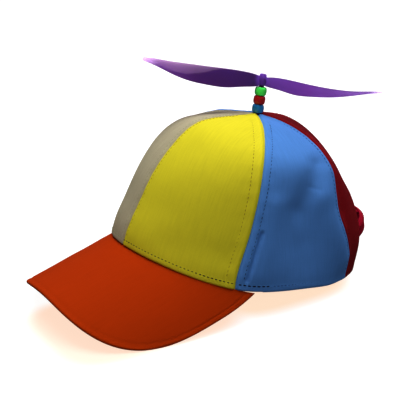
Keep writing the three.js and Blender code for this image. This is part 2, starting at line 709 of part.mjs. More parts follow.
// steps grow shorter towards the tip
const bladeEase = (k) => Math.sin(k * 1.35) / Math.sin(1.35);
function blade() {
  const f = {};
  for (const key of ["chord", "pitch", "lead", "rise"]) f[key] = column(BLADE, "r", key);
  const r0 = BLADE[0].r;
  const r1 = BLADE[BLADE.length - 1].r;
  const rings = [];
  for (let k = 0; k <= BLADE_STEPS; k++) {
    const r = r0 + (r1 - r0) * bladeEase(k / BLADE_STEPS);
    const chord = f.chord(r);
    const p = f.pitch(r) * RAD;
    const along = new THREE.Vector3(0, Math.cos(p), Math.sin(p));
    const up = new THREE.Vector3(0, -Math.sin(p), Math.cos(p));
    const thick = BLADE_THICK * (1 - 0.45 * (r / r1)) * clamp(chord / 6, 0.35, 1);
    const middle = new THREE.Vector3(r, f.lead(r), f.rise(r));
    const ring = [];
    // lens section, blunt at both edges, a little hollow underneath
    for (const [c, u] of [
      [-0.5, 0.18],
      [-0.5, -0.18],
      [-0.25, -0.4],
      [0, -0.46],
      [0.25, -0.4],
      [0.5, -0.18],
      [0.5, 0.18],
      [0.25, 0.46],
      [0, 0.54],
      [-0.25, 0.46],
    ])
      ring.push(
        middle
          .clone()
          .addScaledVector(along, c * chord)
          .addScaledVector(up, u * thick),
      );
    rings.push(ring);
  }
  return loft(rings);
}
{
  const raise = new THREE.Matrix4().makeTranslation(0, 0, BLADE_HEIGHT);
  const one = solid(blade().applyMatrix4(raise));
  const two = solid(blade().rotateZ(Math.PI).applyMatrix4(raise));
  const hub = solid(
    latheZ(
      [
        [0, HUB_BOTTOM],
        [HUB_R - 0.5, HUB_BOTTOM],
        [HUB_R, HUB_BOTTOM + 0.5],
        [HUB_R, HUB_TOP - 1.6],
        [HUB_R - 0.45, HUB_TOP - 0.6],
        [HUB_R - 1.4, HUB_TOP],
        [0, HUB_TOP],
      ],
      20,
    ),
  );
  const bore = solid(
    new THREE.CylinderGeometry(HUB_BORE_R, HUB_BORE_R, HUB_BORE_DEPTH + 2, 20)
      .rotateX(Math.PI / 2)
      .translate(0, 0, HUB_BOTTOM + HUB_BORE_DEPTH / 2 - 1),
  );
  const whole = hub.add(one).add(two).subtract(bore);
  const mesh = add(post, "propeller", geometryOf(whole), 0x4b1e8c, 0.3);
  mesh.rotation.z = BLADE_YAW * RAD;
}

export default cap;
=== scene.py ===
import bmesh, bpy, math
import numpy as np
from mathutils import Matrix, Vector


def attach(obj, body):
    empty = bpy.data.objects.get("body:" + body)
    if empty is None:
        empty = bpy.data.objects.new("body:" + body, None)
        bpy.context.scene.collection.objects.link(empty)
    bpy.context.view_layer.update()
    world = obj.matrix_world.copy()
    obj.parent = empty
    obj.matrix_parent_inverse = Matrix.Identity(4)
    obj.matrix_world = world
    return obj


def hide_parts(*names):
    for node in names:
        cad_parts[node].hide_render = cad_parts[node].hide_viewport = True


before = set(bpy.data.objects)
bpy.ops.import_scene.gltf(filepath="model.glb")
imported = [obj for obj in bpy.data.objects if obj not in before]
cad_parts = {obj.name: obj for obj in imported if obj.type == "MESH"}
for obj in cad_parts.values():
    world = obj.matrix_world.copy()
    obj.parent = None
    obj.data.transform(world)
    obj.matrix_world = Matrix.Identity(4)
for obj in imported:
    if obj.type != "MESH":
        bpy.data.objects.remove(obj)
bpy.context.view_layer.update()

RAD = math.pi / 180.0
MM = 0.001

# ------------------------------------------------------------------ sizes (mm, the cap's own frame, then rested)
HALF_WIDTH, FRONT, BACK, CROWN_HEIGHT, TOP_SHIFT = 82.6, 102.3, 97.3, 113.8, -0.35
TOP_HOLE = 2.7
CLOTH = 1.5
REST_TILT, REST_Y, REST_Z = 11.07, 24.6, 15.72
BILL_THICK, BILL_SLOPE, BILL_BEND, BILL_LENGTH, BILL_HALF = 3.0, 27.45, 92.9, 69.0, 95.3
BILL_BROAD, BILL_ROUND, BILL_RIM_Z, BILL_CORNER = -25.0, 3.0, 11.3, 70.4
RIM_GAP = 0.45
ARCH_ANGLE, ARCH_T, ARCH_POWER = 30.0, 0.38, 2.5
STRAP_THICK = 1.8
STEM_R, BEAD_R, BEAD_H, BEAD_HOLE_R = 1.9, 4.5, 6.35, 2.3
HUB_R, HUB_BOTTOM, HUB_TOP, HUB_BORE_R, HUB_BORE_DEPTH = 2.95, 21.3, 29.9, 2.2, 5.6
BLADE_HEIGHT, BLADE_YAW, BLADE_THICK = 24.7, 59.4, 1.5

CROWN = dict(
    t=[0.0, 0.1082, 0.2171, 0.3286, 0.4392, 0.5462, 0.6899, 0.7924, 0.8982, 1.0],
    front_r=[1.0, 0.975, 0.919, 0.862, 0.788, 0.697, 0.504, 0.309, 0.185, 0.0],
    side_r=[1.0, 0.994, 0.961, 0.926, 0.888, 0.815, 0.65, 0.482, 0.281, 0.0],
    back_r=[1.0, 1.014, 0.997, 0.9, 0.748, 0.595, 0.384, 0.314, 0.201, 0.0],
    front_z=[0.0, 0.16, 0.32, 0.48, 0.63, 0.76, 0.923, 0.964, 0.978, 1.0],
    side_z=[0.0, 0.16, 0.32, 0.48, 0.63, 0.76, 0.861, 0.919, 0.968, 1.0],
    back_z=[0.0, 0.16, 0.32, 0.48, 0.63, 0.76, 0.941, 0.98, 1.0, 1.0],
)
RIM_ANGLE, RIM_RISE = [90, 120, 150, 180], [0.6, 0.5, -1.1, -1.1]
SEAMS = dict(
    t=[0.0, 0.12, 0.18, 0.26, 0.34, 0.42, 0.5, 0.64, 0.82, 1.0],
    front=[61.6, 62.3, 63.4, 64.7, 65.6, 66.4, 66.8, 67.6, 69.8, 71.5],
    back_left=[125.9, 124.0, 121.6, 117.1, 114.5, 114.8, 116.1, 116.6, 119.6, 124.9],
    back_right=[124.8, 123.6, 122.9, 122.1, 121.3, 120.5, 119.6, 118.2, 117.5, 117.5],
)
# name, from angle, from t, to angle, to t, depth, width
FOLDS = [
    ("side hollow, upper", 102.5, 0.585, 88.5, 0.36, 3.0, 9.5),
    ("side hollow, lower", 91.5, 0.27, 93.0, 0.13, 2.0, 14.0),
    ("side broad hollow", 86.0, 0.42, 88.0, 0.22, 1.4, 16.0),
    ("side ridge", 104.0, 0.4, 117.5, 0.12, -2.0, 10.5),
    ("side ridge, lower", 109.5, 0.28, 117.5, 0.12, -1.4, 10.5),
    ("flare under the ridge", 110.0, 0.2, 108.0, 0.0, -1.4, 13.0),
    ("soft hollow low on the front left", 28.0, 0.1, 54.0, 0.13, 1.1, 12.0),
    ("swell behind the front seam", 74.5, 0.38, 71.0, 0.08, -1.15, 7.5),
    ("seam hollow at the back", 118.0, 0.44, 118.0, 0.33, 1.6, 7.0),
    ("hem flare at the back left", 150.0, 0.0, 140.0, 0.14, -1.7, 15.0),
    ("hem flare at the back right", -150.0, 0.0, -140.0, 0.14, -1.7, 15.0),
    ("swell of the back edge", 146.0, 0.36, 146.0, 0.16, -1.0, 9.0),
    ("swell of the right side", -74.0, 0.6, -80.0, 0.8, -2.4, 14.0),
    ("soft hollow of the right side", -97.0, 0.42, -95.0, 0.15, 2.2, 13.0),
]
# the small sharp folds that only cloth shows
CREASES = [
    ("crease beside the front seam", 69.6, 0.255, 66.0, 0.05, 1.7, 1.15),
    ("short cross fold", 93.8, 0.464, 99.5, 0.448, 0.35, 1.8),
]
CLOSURE = dict(
    angle=[0.0, 7.0, 13.0, 19.0, 22.0, 25.0, 28.0, 34.0, 42.0],
    out=[8.8, 9.2, 8.6, 6.0, 3.9, 0.3, -2.6, -3.5, -3.5],
    rise=[30.5, 30.1, 28.7, 25.3, 22.8, 20.3, 17.7, 14.3, 13.3],
)
STRAP_SECTION = dict(
    up=[-10.8, -9.7, -7.4, -4.9, -3.0, -1.1, 2.2, 5.4, 8.4, 10.1, 10.8],
    swell=[-2.2, -0.8, -0.5, -0.6, -0.6, 0.2, 1.8, 1.1, 0.6, -0.7, -2.4],
)
STRAPS = [("strap_left", 1, 41.0, -15.0, 0.2, STRAP_THICK + 0.8), ("strap_right", -1, 41.0, -13.0, -0.2, 0.0)]
BLADE = dict(
    r=[2.0, 7.0, 14.0, 26.0, 40.0, 55.0, 70.0, 82.0, 89.0, 91.6],
    chord=[8.5, 11.6, 14.6, 19.9, 24.2, 25.9, 19.8, 12.0, 6.6, 2.4],
    pitch=[-52.0, -48.5, -43.6, -36.3, -27.1, -21.1, -18.0, -16.2, -15.0, -14.5],
    lead=[0.0, 0.0, -0.6, -2.6, -3.4, -3.2, -2.4, -1.6, -0.6, 0.0],
    rise=[-0.4, -0.5, -0.8, -2.0, -2.3, -1.7, 0.2, 2.5, 3.5, 3.8],
)


# ------------------------------------------------------------------ mathematics
def spline(xs, ys, start=None, end=None):
    """Cubic spline; an end with no slope follows the cubic of its neighbours."""
    xs, ys = np.asarray(xs, float), np.asarray(ys, float)
    n = len(xs)
    h = np.diff(xs)
    d = np.diff(ys) / h
    A, b = np.zeros((n, n)), np.zeros(n)
    for i in range(1, n - 1):
        A[i, i - 1], A[i, i], A[i, i + 1] = h[i - 1], 2 * (h[i - 1] + h[i]), h[i]
        b[i] = 6 * (d[i] - d[i - 1])
    if start is None:
        A[0, :3] = h[1], -(h[0] + h[1]), h[0]
    else:
        A[0, :2] = 2 * h[0], h[0]
        b[0] = 6 * (d[0] - start)
    if end is None:
        A[-1, -3:] = h[-1], -(h[-2] + h[-1]), h[-2]
    else:
        A[-1, -1], A[-1, -2] = 2 * h[-1], h[-1]
        b[-1] = 6 * (end - d[-1])
    m = np.linalg.solve(A, b)

    def f(x):
        x = np.asarray(x, float)
        i = np.clip(np.searchsorted(xs, x, side="left") - 1, 0, n - 2)
        a = (xs[i + 1] - x) / h[i]
        c = 1 - a
        return a * ys[i] + c * ys[i + 1] + ((a**3 - a) * m[i] + (c**3 - c) * m[i + 1]) * h[i] ** 2 / 6
    return f


def unit(v):
    return v / np.maximum(np.linalg.norm(v, axis=-1, keepdims=True), 1e-12)


def smooth(a, b, x):
    k = np.clip((x - a) / (b - a), 0, 1)
    return k * k * (3 - 2 * k)


def waves(x, y, scale, seed):
    """Smooth, repeatable unevenness of about -1 to 1 from a few crossed waves."""
    rng = np.random.RandomState(seed)
    total = 0
    for _ in range(7):
        a = rng.uniform(0, 2 * math.pi)
        k = 2 * math.pi / scale * rng.uniform(0.55, 1.6)
        total = total + np.sin(k * (x * math.cos(a) + y * math.sin(a)) + rng.uniform(0, 2 * math.pi))
    return total / 4.0


sec = {k: spline(CROWN["t"], v) for k, v in CROWN.items() if k != "t"}
seam_at = {k: spline(SEAMS["t"], v) for k, v in SEAMS.items() if k != "t"}
cB, sB = math.cos(BILL_SLOPE * RAD), math.sin(BILL_SLOPE * RAD)
CORNER = BILL_CORNER * RAD


def bill_point(s, l):
    drop = BILL_BEND * (1 - np.cos(s / BILL_BEND))
    return np.stack([BILL_BEND * np.sin(s / BILL_BEND), -FRONT - l * cB + drop * sB, BILL_RIM_Z - l * sB - drop * cB], -1)


def bill_normal(s):
    a = s / BILL_BEND
    return np.stack([np.sin(a), -sB * np.cos(a), cB * np.cos(a)], -1)


def bill_coords(x, y):
    x = np.clip(x, -BILL_BEND * 0.999, BILL_BEND * 0.999)
    drop = BILL_BEND - np.sqrt(BILL_BEND**2 - x * x)
    l = (-FRONT - y + drop * sB) / cB
    return BILL_BEND * np.arcsin(x / BILL_BEND), l, BILL_RIM_Z - l * sB - drop * cB


def rim_x(a):
    return HALF_WIDTH * np.sin(a)


def rim_y(a):
    return -np.where(np.cos(a) > 0, FRONT, BACK) * np.cos(a)


def rim_on_bill(a):
    return bill_coords(rim_x(a), rim_y(a))[2]


_slope = float((rim_on_bill(CORNER) - rim_on_bill(CORNER - 1e-3)) / 1e-3)
_behind = spline([CORNER] + [a * RAD for a in RIM_ANGLE], [float(rim_on_bill(CORNER))] + RIM_RISE, _slope, 0.0)


def rim_height(angle):
    a = np.abs(angle)
    return np.where(a < CORNER, rim_on_bill(np.minimum(a, CORNER)), _behind(np.maximum(a, CORNER))) + RIM_GAP


def crown_plain(angle, t):
    c = np.cos(angle)
    f, b = np.where(c > 0, c * c, 0), np.where(c < 0, c * c, 0)
    mix = lambda k: sec["side_" + k](t) + (sec["front_" + k](t) - sec["side_" + k](t)) * f + (sec["back_" + k](t) - sec["side_" + k](t)) * b
    r, z0 = mix("r"), rim_height(angle)
    return np.stack([rim_x(angle) * r, TOP_SHIFT + (rim_y(angle) - TOP_SHIFT) * r, z0 + (CROWN_HEIGHT - z0) * mix("z")], -1)


def normal_of(surface, angle, t, e=2e-3):
    across = surface(angle + e, t) - surface(angle - e, t)
    up = surface(angle, np.clip(t + e, 0, 1)) - surface(angle, np.clip(t - e, 0, 1))
    return unit(np.cross(across, up))


MERIDIAN = 168.0


def fold_depth(angle, t, table):
    scale = 88 * sec["side_r"](t) * RAD
    total = np.zeros(np.broadcast(angle, t).shape)
    for _, a0, t0, a1, t1, depth, width in table:
        px, py = (angle / RAD - a0) * scale, (t - t0) * MERIDIAN
        dx, dy = (a1 - a0) * scale, (t1 - t0) * MERIDIAN
        k = np.clip((px * dx + py * dy) / (dx * dx + dy * dy), 0, 1)
        dist2 = (px - k * dx) ** 2 + (py - k * dy) ** 2
        total = total + depth * np.exp(-dist2 / width**2)
    return total


def crown(angle, t):
    return crown_plain(angle, t) - normal_of(crown_plain, angle, t) * (fold_depth(angle, t, FOLDS) + fold_depth(angle, t, CREASES))[..., None]


_ct, _st = math.cos(REST_TILT * RAD), math.sin(REST_TILT * RAD)


def rest(p):
    """From the cap's frame to the resting one, in mm."""
    p = np.asarray(p, float)
    return np.stack([p[..., 0], _ct * p[..., 1] + _st * p[..., 2] + REST_Y, -_st * p[..., 1] + _ct * p[..., 2] + REST_Z], -1)


def rest_dir(v):
    v = np.asarray(v, float)
    return np.stack([v[..., 0], _ct * v[..., 1] + _st * v[..., 2], -_st * v[..., 1] + _ct * v[..., 2]], -1)


def on_floor(p):
    p = p.copy()
    p[..., 2] = np.maximum(p[..., 2], 0.02)
    return p


# ------------------------------------------------------------------ meshes
def make_object(name, verts, faces, smooth_faces=True, attrs=None, material=None, face_mats=None):
    """verts in mm, resting frame."""
    me = bpy.data.meshes.new(name)
    verts = np.asarray(verts, float).reshape(-1, 3) * MM
    me.from_pydata(verts.tolist(), [], [tuple(int(i) for i in f) for f in faces])
    me.validate(clean_customdata=False)
    if smooth_faces:
        me.shade_smooth()
    for key, value in (attrs or {}).items():
        value = np.asarray(value, float)
        if value.ndim == 2:
            at = me.attributes.new(key, "FLOAT_VECTOR", "POINT")
            at.data.foreach_set("vector", np.ascontiguousarray(value, np.float32).ravel())
        else:
            at = me.attributes.new(key, "FLOAT", "POINT")
            at.data.foreach_set("value", np.ascontiguousarray(value, np.float32).ravel())
    ob = bpy.data.objects.new(name, me)
    bpy.context.scene.collection.objects.link(ob)
    for m in ([material] if material is not None and not isinstance(material, (list, tuple)) else (material or [])):
        me.materials.append(m)
    if face_mats is not None:
        me.polygons.foreach_set("material_index", np.asarray(face_mats, np.int32))
    me.update()
    return ob


def grid_faces(nu, nv, offset=0, flip=False):
    i, j = np.meshgrid(np.arange(nu), np.arange(nv), indexing="xy")
    a = (j * (nu + 1) + i).ravel() + offset
    f = np.stack([a, a + 1, a + nu + 2, a + nu + 1], -1)
    return f[:, ::-1] if flip else f


def shell_faces(nu, nv):
    n = (nu + 1) * (nv + 1)
    out = [grid_faces(nu, nv), grid_faces(nu, nv, n, True)]
    i = np.arange(nu)
    out.append(np.stack([i, n + i, n + i + 1, i + 1], -1))
    k = nv * (nu + 1)
    out.append(np.stack([k + i, k + i + 1, n + k + i + 1, n + k + i], -1))
    j = np.arange(nv) * (nu + 1)
    out.append(np.stack([j, j + nu + 1, n + j + nu + 1, n + j], -1))
    j = j + nu
    out.append(np.stack([j, n + j, n + j + nu + 1, j + nu + 1], -1))
    return np.concatenate(out)


def tube_faces(m, n, caps=True):
    """n rings of m points each."""
    faces = []
    i = np.arange(m)
    k = (i + 1) % m
    for j in range(n - 1):
        faces.append(np.stack([j * m + i, j * m + k, (j + 1) * m + k, (j + 1) * m + i], -1))
    return [tuple(f) for f in np.concatenate(faces)] + ([tuple(range(m))[::-1], tuple(range((n - 1) * m, n * m))] if caps else [])


# ------------------------------------------------------------------ materials
def new_material(name):
    m = bpy.data.materials.new(name)
    m.use_nodes = True
    nt = m.node_tree
    for n in list(nt.nodes):
        nt.nodes.remove(n)
    out = nt.nodes.new("ShaderNodeOutputMaterial")
    bs = nt.nodes.new("ShaderNodeBsdfPrincipled")
    nt.links.new(bs.outputs[0], out.inputs[0])
    return m, nt, bs


def srgb(r, g, b):
    f = lambda c: (c / 255 / 12.92) if c <= 10.31475 else ((c / 255 + 0.055) / 1.055) ** 2.4
    return (f(r), f(g), f(b), 1.0)


def node(nt, kind, inputs=None, **props):
    n = nt.nodes.new(kind)
    for k, v in props.items():
        setattr(n, k, v)
    for k, v in (inputs or {}).items():
        if isinstance(v, bpy.types.NodeSocket):
            nt.links.new(v, n.inputs[k])
        else:
            n.inputs[k].default_value = v
    return n


def math_node(nt, op, a, b=0.0, clamp=False):
    return node(nt, "ShaderNodeMath", {0: a, 1: b}, operation=op, use_clamp=clamp).outputs[0]


def mix_color(nt, fac, a, b, blend="MIX"):
    n = node(nt, "ShaderNodeMix", data_type="RGBA", blend_type=blend)
    for key, v in ((0, fac), (6, a), (7, b)):
        if isinstance(v, bpy.types.NodeSocket):
            nt.links.new(v, n.inputs[key])
        else:
            n.inputs[key].default_value = v
    return n.outputs[2]


def scaled(nt, vec, s):
    return node(nt, "ShaderNodeVectorMath", {0: vec, 1: s}, operation="MULTIPLY").outputs[0]


def ramp(nt, fac, stops):
    n = node(nt, "ShaderNodeValToRGB", {0: fac})
    e = n.color_ramp.elements
    while len(e) < len(stops):
        e.new(0.5)
    for k, (p, c) in enumerate(stops):
        e[k].position = p
        e[k].color = c if len(c) == 4 else (*c, 1)
    return n.outputs[0]


def shade(c, k):
    return tuple(min(1.0, v * k) for v in c[:3]) + (1.0,)


def cloth_material(name, base, streak=0.16, mottle=0.12, bump=0.3, rough=0.9, sheen=0.05, pitch=0.9, pale_edge_mix=0.22, deep=0.62, pale=1.25):
    """Twill: fine diagonal ribs, uneven warp threads along the panel, soft mottling, and paler edges: wear along hems
    and seams, painted sheen along the arch's free edge.
    The mesh carries 'cloth' (mm across, mm up, 0) and the 0 to 1 edge attribute that holds the wear and the painted
    sheen."""
    dark, light = shade(base, deep), shade(base, pale)
    m, nt, bs = new_material(name)
    co = node(nt, "ShaderNodeAttribute", attribute_name="cloth", attribute_type="GEOMETRY").outputs["Vector"]
    worn_and_sheen = node(nt, "ShaderNodeAttribute", attribute_name="worn_and_sheen", attribute_type="GEOMETRY").outputs["Fac"]
    warp = node(nt, "ShaderNodeTexNoise", {"Vector": scaled(nt, co, (0.95, 0.045, 1)), "Scale": 1.0, "Detail": 3.0, "Roughness": 0.7}).outputs["Fac"]
    weft = node(nt, "ShaderNodeTexNoise", {"Vector": scaled(nt, co, (0.06, 1.1, 1)), "Scale": 1.0, "Detail": 2.0, "Roughness": 0.6}).outputs["Fac"]
    broad = node(nt, "ShaderNodeTexNoise", {"Vector": scaled(nt, co, (0.045, 0.035, 1)), "Scale": 1.0, "Detail": 2.0}).outputs["Fac"]
    fuzz = node(nt, "ShaderNodeTexNoise", {"Vector": scaled(nt, co, (2.2, 2.2, 1)), "Scale": 1.0, "Detail": 3.0}).outputs["Fac"]
    sep = node(nt, "ShaderNodeSeparateXYZ", {0: co})
    diag = math_node(nt, "ADD", sep.outputs[0], math_node(nt, "MULTIPLY", sep.outputs[1], 0.62))
    rib = math_node(nt, "SINE", math_node(nt, "MULTIPLY", diag, 2 * math.pi / pitch))
    cross = math_node(nt, "SINE", math_node(nt, "MULTIPLY", sep.outputs[0], 2 * math.pi / (pitch * 0.62)))
    weave = math_node(nt, "ADD", math_node(nt, "MULTIPLY", rib, 0.6), math_node(nt, "MULTIPLY", cross, 0.25))
    c = mix_color(nt, math_node(nt, "MULTIPLY", math_node(nt, "SUBTRACT", warp, 0.42, True), streak * 5.0, True), base, dark)
    c = mix_color(nt, math_node(nt, "MULTIPLY", math_node(nt, "SUBTRACT", weft, 0.5, True), streak * 2.4, True), c, light)
    c = mix_color(nt, math_node(nt, "MULTIPLY", math_node(nt, "SUBTRACT", broad, 0.5, True), mottle * 3.0, True), c, dark)
    c = mix_color(nt, math_node(nt, "MULTIPLY", math_node(nt, "SUBTRACT", 0.25, weave, True), 0.26, True), c, dark)
    c = mix_color(nt, math_node(nt, "MULTIPLY", math_node(nt, "SUBTRACT", fuzz, 0.5, True), 0.7, True), c, dark)
    # paler edges: wear along hems and seams, painted sheen along the arch's free edge
    c = mix_color(nt, math_node(nt, "MULTIPLY", worn_and_sheen, pale_edge_mix, True), c, light)
    nt.links.new(c, bs.inputs["Base Color"])
    r = math_node(nt, "ADD", math_node(nt, "MULTIPLY", fuzz, 0.12), rough - 0.06, True)
    nt.links.new(r, bs.inputs["Roughness"])
    height = math_node(nt, "ADD", math_node(nt, "MULTIPLY", weave, 0.5), math_node(nt, "ADD", math_node(nt, "MULTIPLY", warp, 1.0), math_node(nt, "MULTIPLY", fuzz, 0.8)))
    bn = node(nt, "ShaderNodeBump", {"Strength": bump, "Distance": 0.00022, "Height": height})
    nt.links.new(bn.outputs[0], bs.inputs["Normal"])
    bs.inputs["Sheen Weight"].default_value = sheen
    bs.inputs["Sheen Roughness"].default_value = 0.4
    bs.inputs["Sheen Tint"].default_value = shade(base, 1.6)
    bs.inputs["Specular IOR Level"].default_value = 0.06
    return m


def thread_material(name, base, deep):
    m, nt, bs = new_material(name)
    co = node(nt, "ShaderNodeAttribute", attribute_name="cloth", attribute_type="GEOMETRY").outputs["Vector"]
    sep = node(nt, "ShaderNodeSeparateXYZ", {0: co})
    ply = math_node(nt, "SINE", math_node(nt, "MULTIPLY", math_node(nt, "ADD", sep.outputs[0], sep.outputs[1]), 2 * math.pi / 0.34))
    n = node(nt, "ShaderNodeTexNoise", {"Vector": scaled(nt, co, (1.0, 1.0, 1)), "Scale": 1.5, "Detail": 2.0}).outputs["Fac"]
    c = mix_color(nt, math_node(nt, "ADD", math_node(nt, "MULTIPLY", ply, 0.25), n, True), deep, base)
    nt.links.new(c, bs.inputs["Base Color"])
    bn = node(nt, "ShaderNodeBump", {"Strength": 0.5, "Distance": 0.00008, "Height": ply})
    nt.links.new(bn.outputs[0], bs.inputs["Normal"])
    bs.inputs["Roughness"].default_value = 0.7
    bs.inputs["Sheen Weight"].default_value = 0.03
    bs.inputs["Specular IOR Level"].default_value = 0.15
    return m


def plastic_material(name, base, deep, rough=0.18, coat=0.12, transmission=0.0, scale=400.0, sss=0.0):
    m, nt, bs = new_material(name)
    tc = node(nt, "ShaderNodeTexCoord").outputs["Object"]
    n1 = node(nt, "ShaderNodeTexNoise", {"Vector": tc, "Scale": scale * 0.35, "Detail": 3.0}).outputs["Fac"]
    n2 = node(nt, "ShaderNodeTexNoise", {"Vector": tc, "Scale": scale * 4.0, "Detail": 2.0}).outputs["Fac"]
    c = mix_color(nt, math_node(nt, "MULTIPLY", math_node(nt, "SUBTRACT", n1, 0.35, True), 1.6, True), base, deep)
    nt.links.new(c, bs.inputs["Base Color"])
    r = math_node(nt, "ADD", math_node(nt, "MULTIPLY", n2, 0.12), rough - 0.06, True)
    nt.links.new(r, bs.inputs["Roughness"])
    bn = node(nt, "ShaderNodeBump", {"Strength": 0.12, "Distance": 0.0002, "Height": n1})
    nt.links.new(bn.outputs[0], bs.inputs["Normal"])
    bs.inputs["Coat Weight"].default_value = coat
    bs.inputs["Coat Roughness"].default_value = 0.06
    bs.inputs["Transmission Weight"].default_value = transmission
    bs.inputs["Subsurface Weight"].default_value = sss
    bs.inputs["Subsurface Scale"].default_value = 0.002
    return m


YELLOW = cloth_material("yellow_twill", srgb(208, 198, 52))
GREY = cloth_material("grey_twill", srgb(174, 166, 142), streak=0.22)
BLUE = cloth_material("blue_twill", srgb(88, 136, 198))
# its pale colour is what the painted sheen along the arch's free edge mixes towards
DARKRED = cloth_material("dark_red_twill", srgb(126, 21, 29), sheen=0.02, pale=1.9)
ORANGE = cloth_material("orange_cloth", srgb(164, 56, 8), streak=0.12, mottle=0.1, bump=0.25, pitch=0.8)
STRAPRED = cloth_material("strap_red", srgb(148, 20, 46), streak=0.3, pitch=1.2, bump=0.5, sheen=0.1)
T_NAVY = thread_material("thread_navy", srgb(20, 24, 40), srgb(8, 10, 18))
T_OLIVE = thread_material("thread_olive", srgb(150, 118, 30), srgb(104, 78, 16))
T_GREEN = thread_material("thread_pale_green", srgb(150, 160, 120), srgb(104, 112, 84))
T_BLUE = thread_material("thread_blue", srgb(38, 74, 130), srgb(20, 44, 88))
T_RED = thread_material("thread_red", srgb(92, 14, 20), srgb(52, 6, 10))
T_PINK = thread_material("thread_pink", srgb(150, 26, 50), srgb(96, 12, 30))
BEADMAT = {
    "bead_blue": plastic_material("blue_bead", srgb(30, 126, 184), srgb(14, 84, 136)),
    "bead_red": plastic_material("red_bead", srgb(190, 22, 28), srgb(130, 8, 14)),
    "bead_green": plastic_material("green_bead", srgb(90, 244, 104), srgb(50, 200, 70)),
}
STEMMAT = plastic_material("stem_plastic", srgb(44, 28, 62), srgb(26, 16, 40), rough=0.35, coat=0.1)


def propeller_material():
    """Moulded, slightly translucent plastic with flow marks along the blade; its colour along the blade is painted
    light and shade: painted highlights on the hub and the tip, a painted reflection on the outer blade, painted shade
    over the inner blade.
    """
    m, nt, bs = new_material("propeller_plastic")
    co = node(nt, "ShaderNodeAttribute", attribute_name="blade", attribute_type="GEOMETRY").outputs["Vector"]
    sep = node(nt, "ShaderNodeSeparateXYZ", {0: co})
    flow = node(nt, "ShaderNodeTexNoise", {"Vector": scaled(nt, co, (0.035, 0.3, 1)), "Scale": 1.0, "Detail": 3.0}).outputs["Fac"]
    fine = node(nt, "ShaderNodeTexNoise", {"Vector": scaled(nt, co, (1.1, 1.6, 1)), "Scale": 1.0, "Detail": 2.0}).outputs["Fac"]
    along = math_node(nt, "DIVIDE", sep.outputs[0], 92.0, True)
    # painted light and shade along the blade: a painted highlight on the hub, dark painted shade over the inner
    # blade, a painted reflection on the outer blade and a pale painted highlight at the tip
    c = ramp(nt, along, [(0.0, srgb(96, 58, 138)), (0.035, srgb(88, 52, 128)), (0.07, srgb(30, 14, 36)), (0.55, srgb(44, 20, 60)), (0.85, srgb(84, 50, 104)), (1.0, srgb(176, 146, 186))])
    c = mix_color(nt, math_node(nt, "MULTIPLY", math_node(nt, "SUBTRACT", flow, 0.45, True), 1.2, True), c, srgb(28, 11, 38))
    nt.links.new(c, bs.inputs["Base Color"])
    nt.links.new(math_node(nt, "ADD", math_node(nt, "MULTIPLY", fine, 0.04), 0.03, True), bs.inputs["Roughness"])
    bn = node(nt, "ShaderNodeBump", {"Strength": 0.05, "Distance": 0.0003, "Height": flow})
    nt.links.new(bn.outputs[0], bs.inputs["Normal"])
    bs.inputs["IOR"].default_value = 1.46
    bs.inputs["Specular IOR Level"].default_value = 0.14
    bs.inputs["Sheen Weight"].default_value = 0.12
    bs.inputs["Sheen Roughness"].default_value = 0.5
    bs.inputs["Sheen Tint"].default_value = (0.5, 0.2, 0.8, 1)
    # light from above comes through the thin plastic, so the underside is the brighter one
    through = ramp(nt, along, [(0.0, (0.34, 0.215, 0.5, 1)), (0.6, (0.335, 0.185, 0.47, 1)), (0.88, (0.39, 0.25, 0.54, 1)), (1.0, (0.85, 0.8, 0.88, 1))])
    tr = node(nt, "ShaderNodeBsdfTranslucent")
    nt.links.new(through, tr.inputs["Color"])
    nt.links.new(bn.outputs[0], tr.inputs["Normal"])
    add = node(nt, "ShaderNodeAddShader")
    nt.links.new(bs.outputs[0], add.inputs[0])
    nt.links.new(tr.outputs[0], add.inputs[1])
    out = next(n for n in nt.nodes if n.type == "OUTPUT_MATERIAL")
    nt.links.new(add.outputs[0], out.inputs["Surface"])
    return m


PURPLE = propeller_material()

# ------------------------------------------------------------------ panels
T_TOP = 1.0
_a, _b = 0.9, 1.0
for _ in range(40):
    _m = (_a + _b) / 2
    if float(sec["side_r"](_m)) * HALF_WIDTH > TOP_HOLE:
        _a = _m
    else:
        _b = _m
T_TOP = _a


def arch_edge(t):
    k = np.clip(np.asarray(t, float) / ARCH_T, 0, 1)
    return np.where(np.asarray(t) >= ARCH_T, 180.0, 180.0 - ARCH_ANGLE * (1 - k**ARCH_POWER) ** (1 / ARCH_POWER))


SF, SBL, SBR = seam_at["front"], seam_at["back_left"], seam_at["back_right"]
zero = lambda t: np.zeros_like(np.asarray(t, float))
# name, from angle, to angle, material, which sides are seams (the others are the arch), stitch rows at mm from the left and right edge
PANELS = [
    dict(name="panel_front_left", a=zero, b=SF, mat=YELLOW, slot="yellow_cloth", seed=1),
    dict(name="panel_side_left", a=SF, b=SBL, mat=BLUE, slot="blue_cloth", seed=2),
    dict(name="panel_back_left", a=SBL, b=arch_edge, mat=DARKRED, slot="dark_red_cloth", seed=3, arch="b"),
    dict(name="panel_front_right", a=lambda t: -SF(t), b=zero, mat=GREY, slot="grey_cloth", seed=4),
    dict(name="panel_side_right", a=lambda t: -SBR(t), b=lambda t: -SF(t), mat=BLUE, slot="blue_cloth", seed=5),
    dict(name="panel_back_right", a=lambda t: -arch_edge(t), b=lambda t: -SBR(t), mat=DARKRED, slot="dark_red_cloth", seed=6, arch="a"),
]
ROW = {"panel_front_left": (3.2, 6.6), "panel_side_left": (5.2, 5.2), "panel_back_left": (5.0, 3.2),
       "panel_front_right": (5.0, 3.2), "panel_side_right": (5.0, 5.0), "panel_back_right": (3.2, 5.0)}
HEM_ROW = 4.8
PITCH = 3.0
_tt = np.linspace(0, 1, 401)
_mer = {}
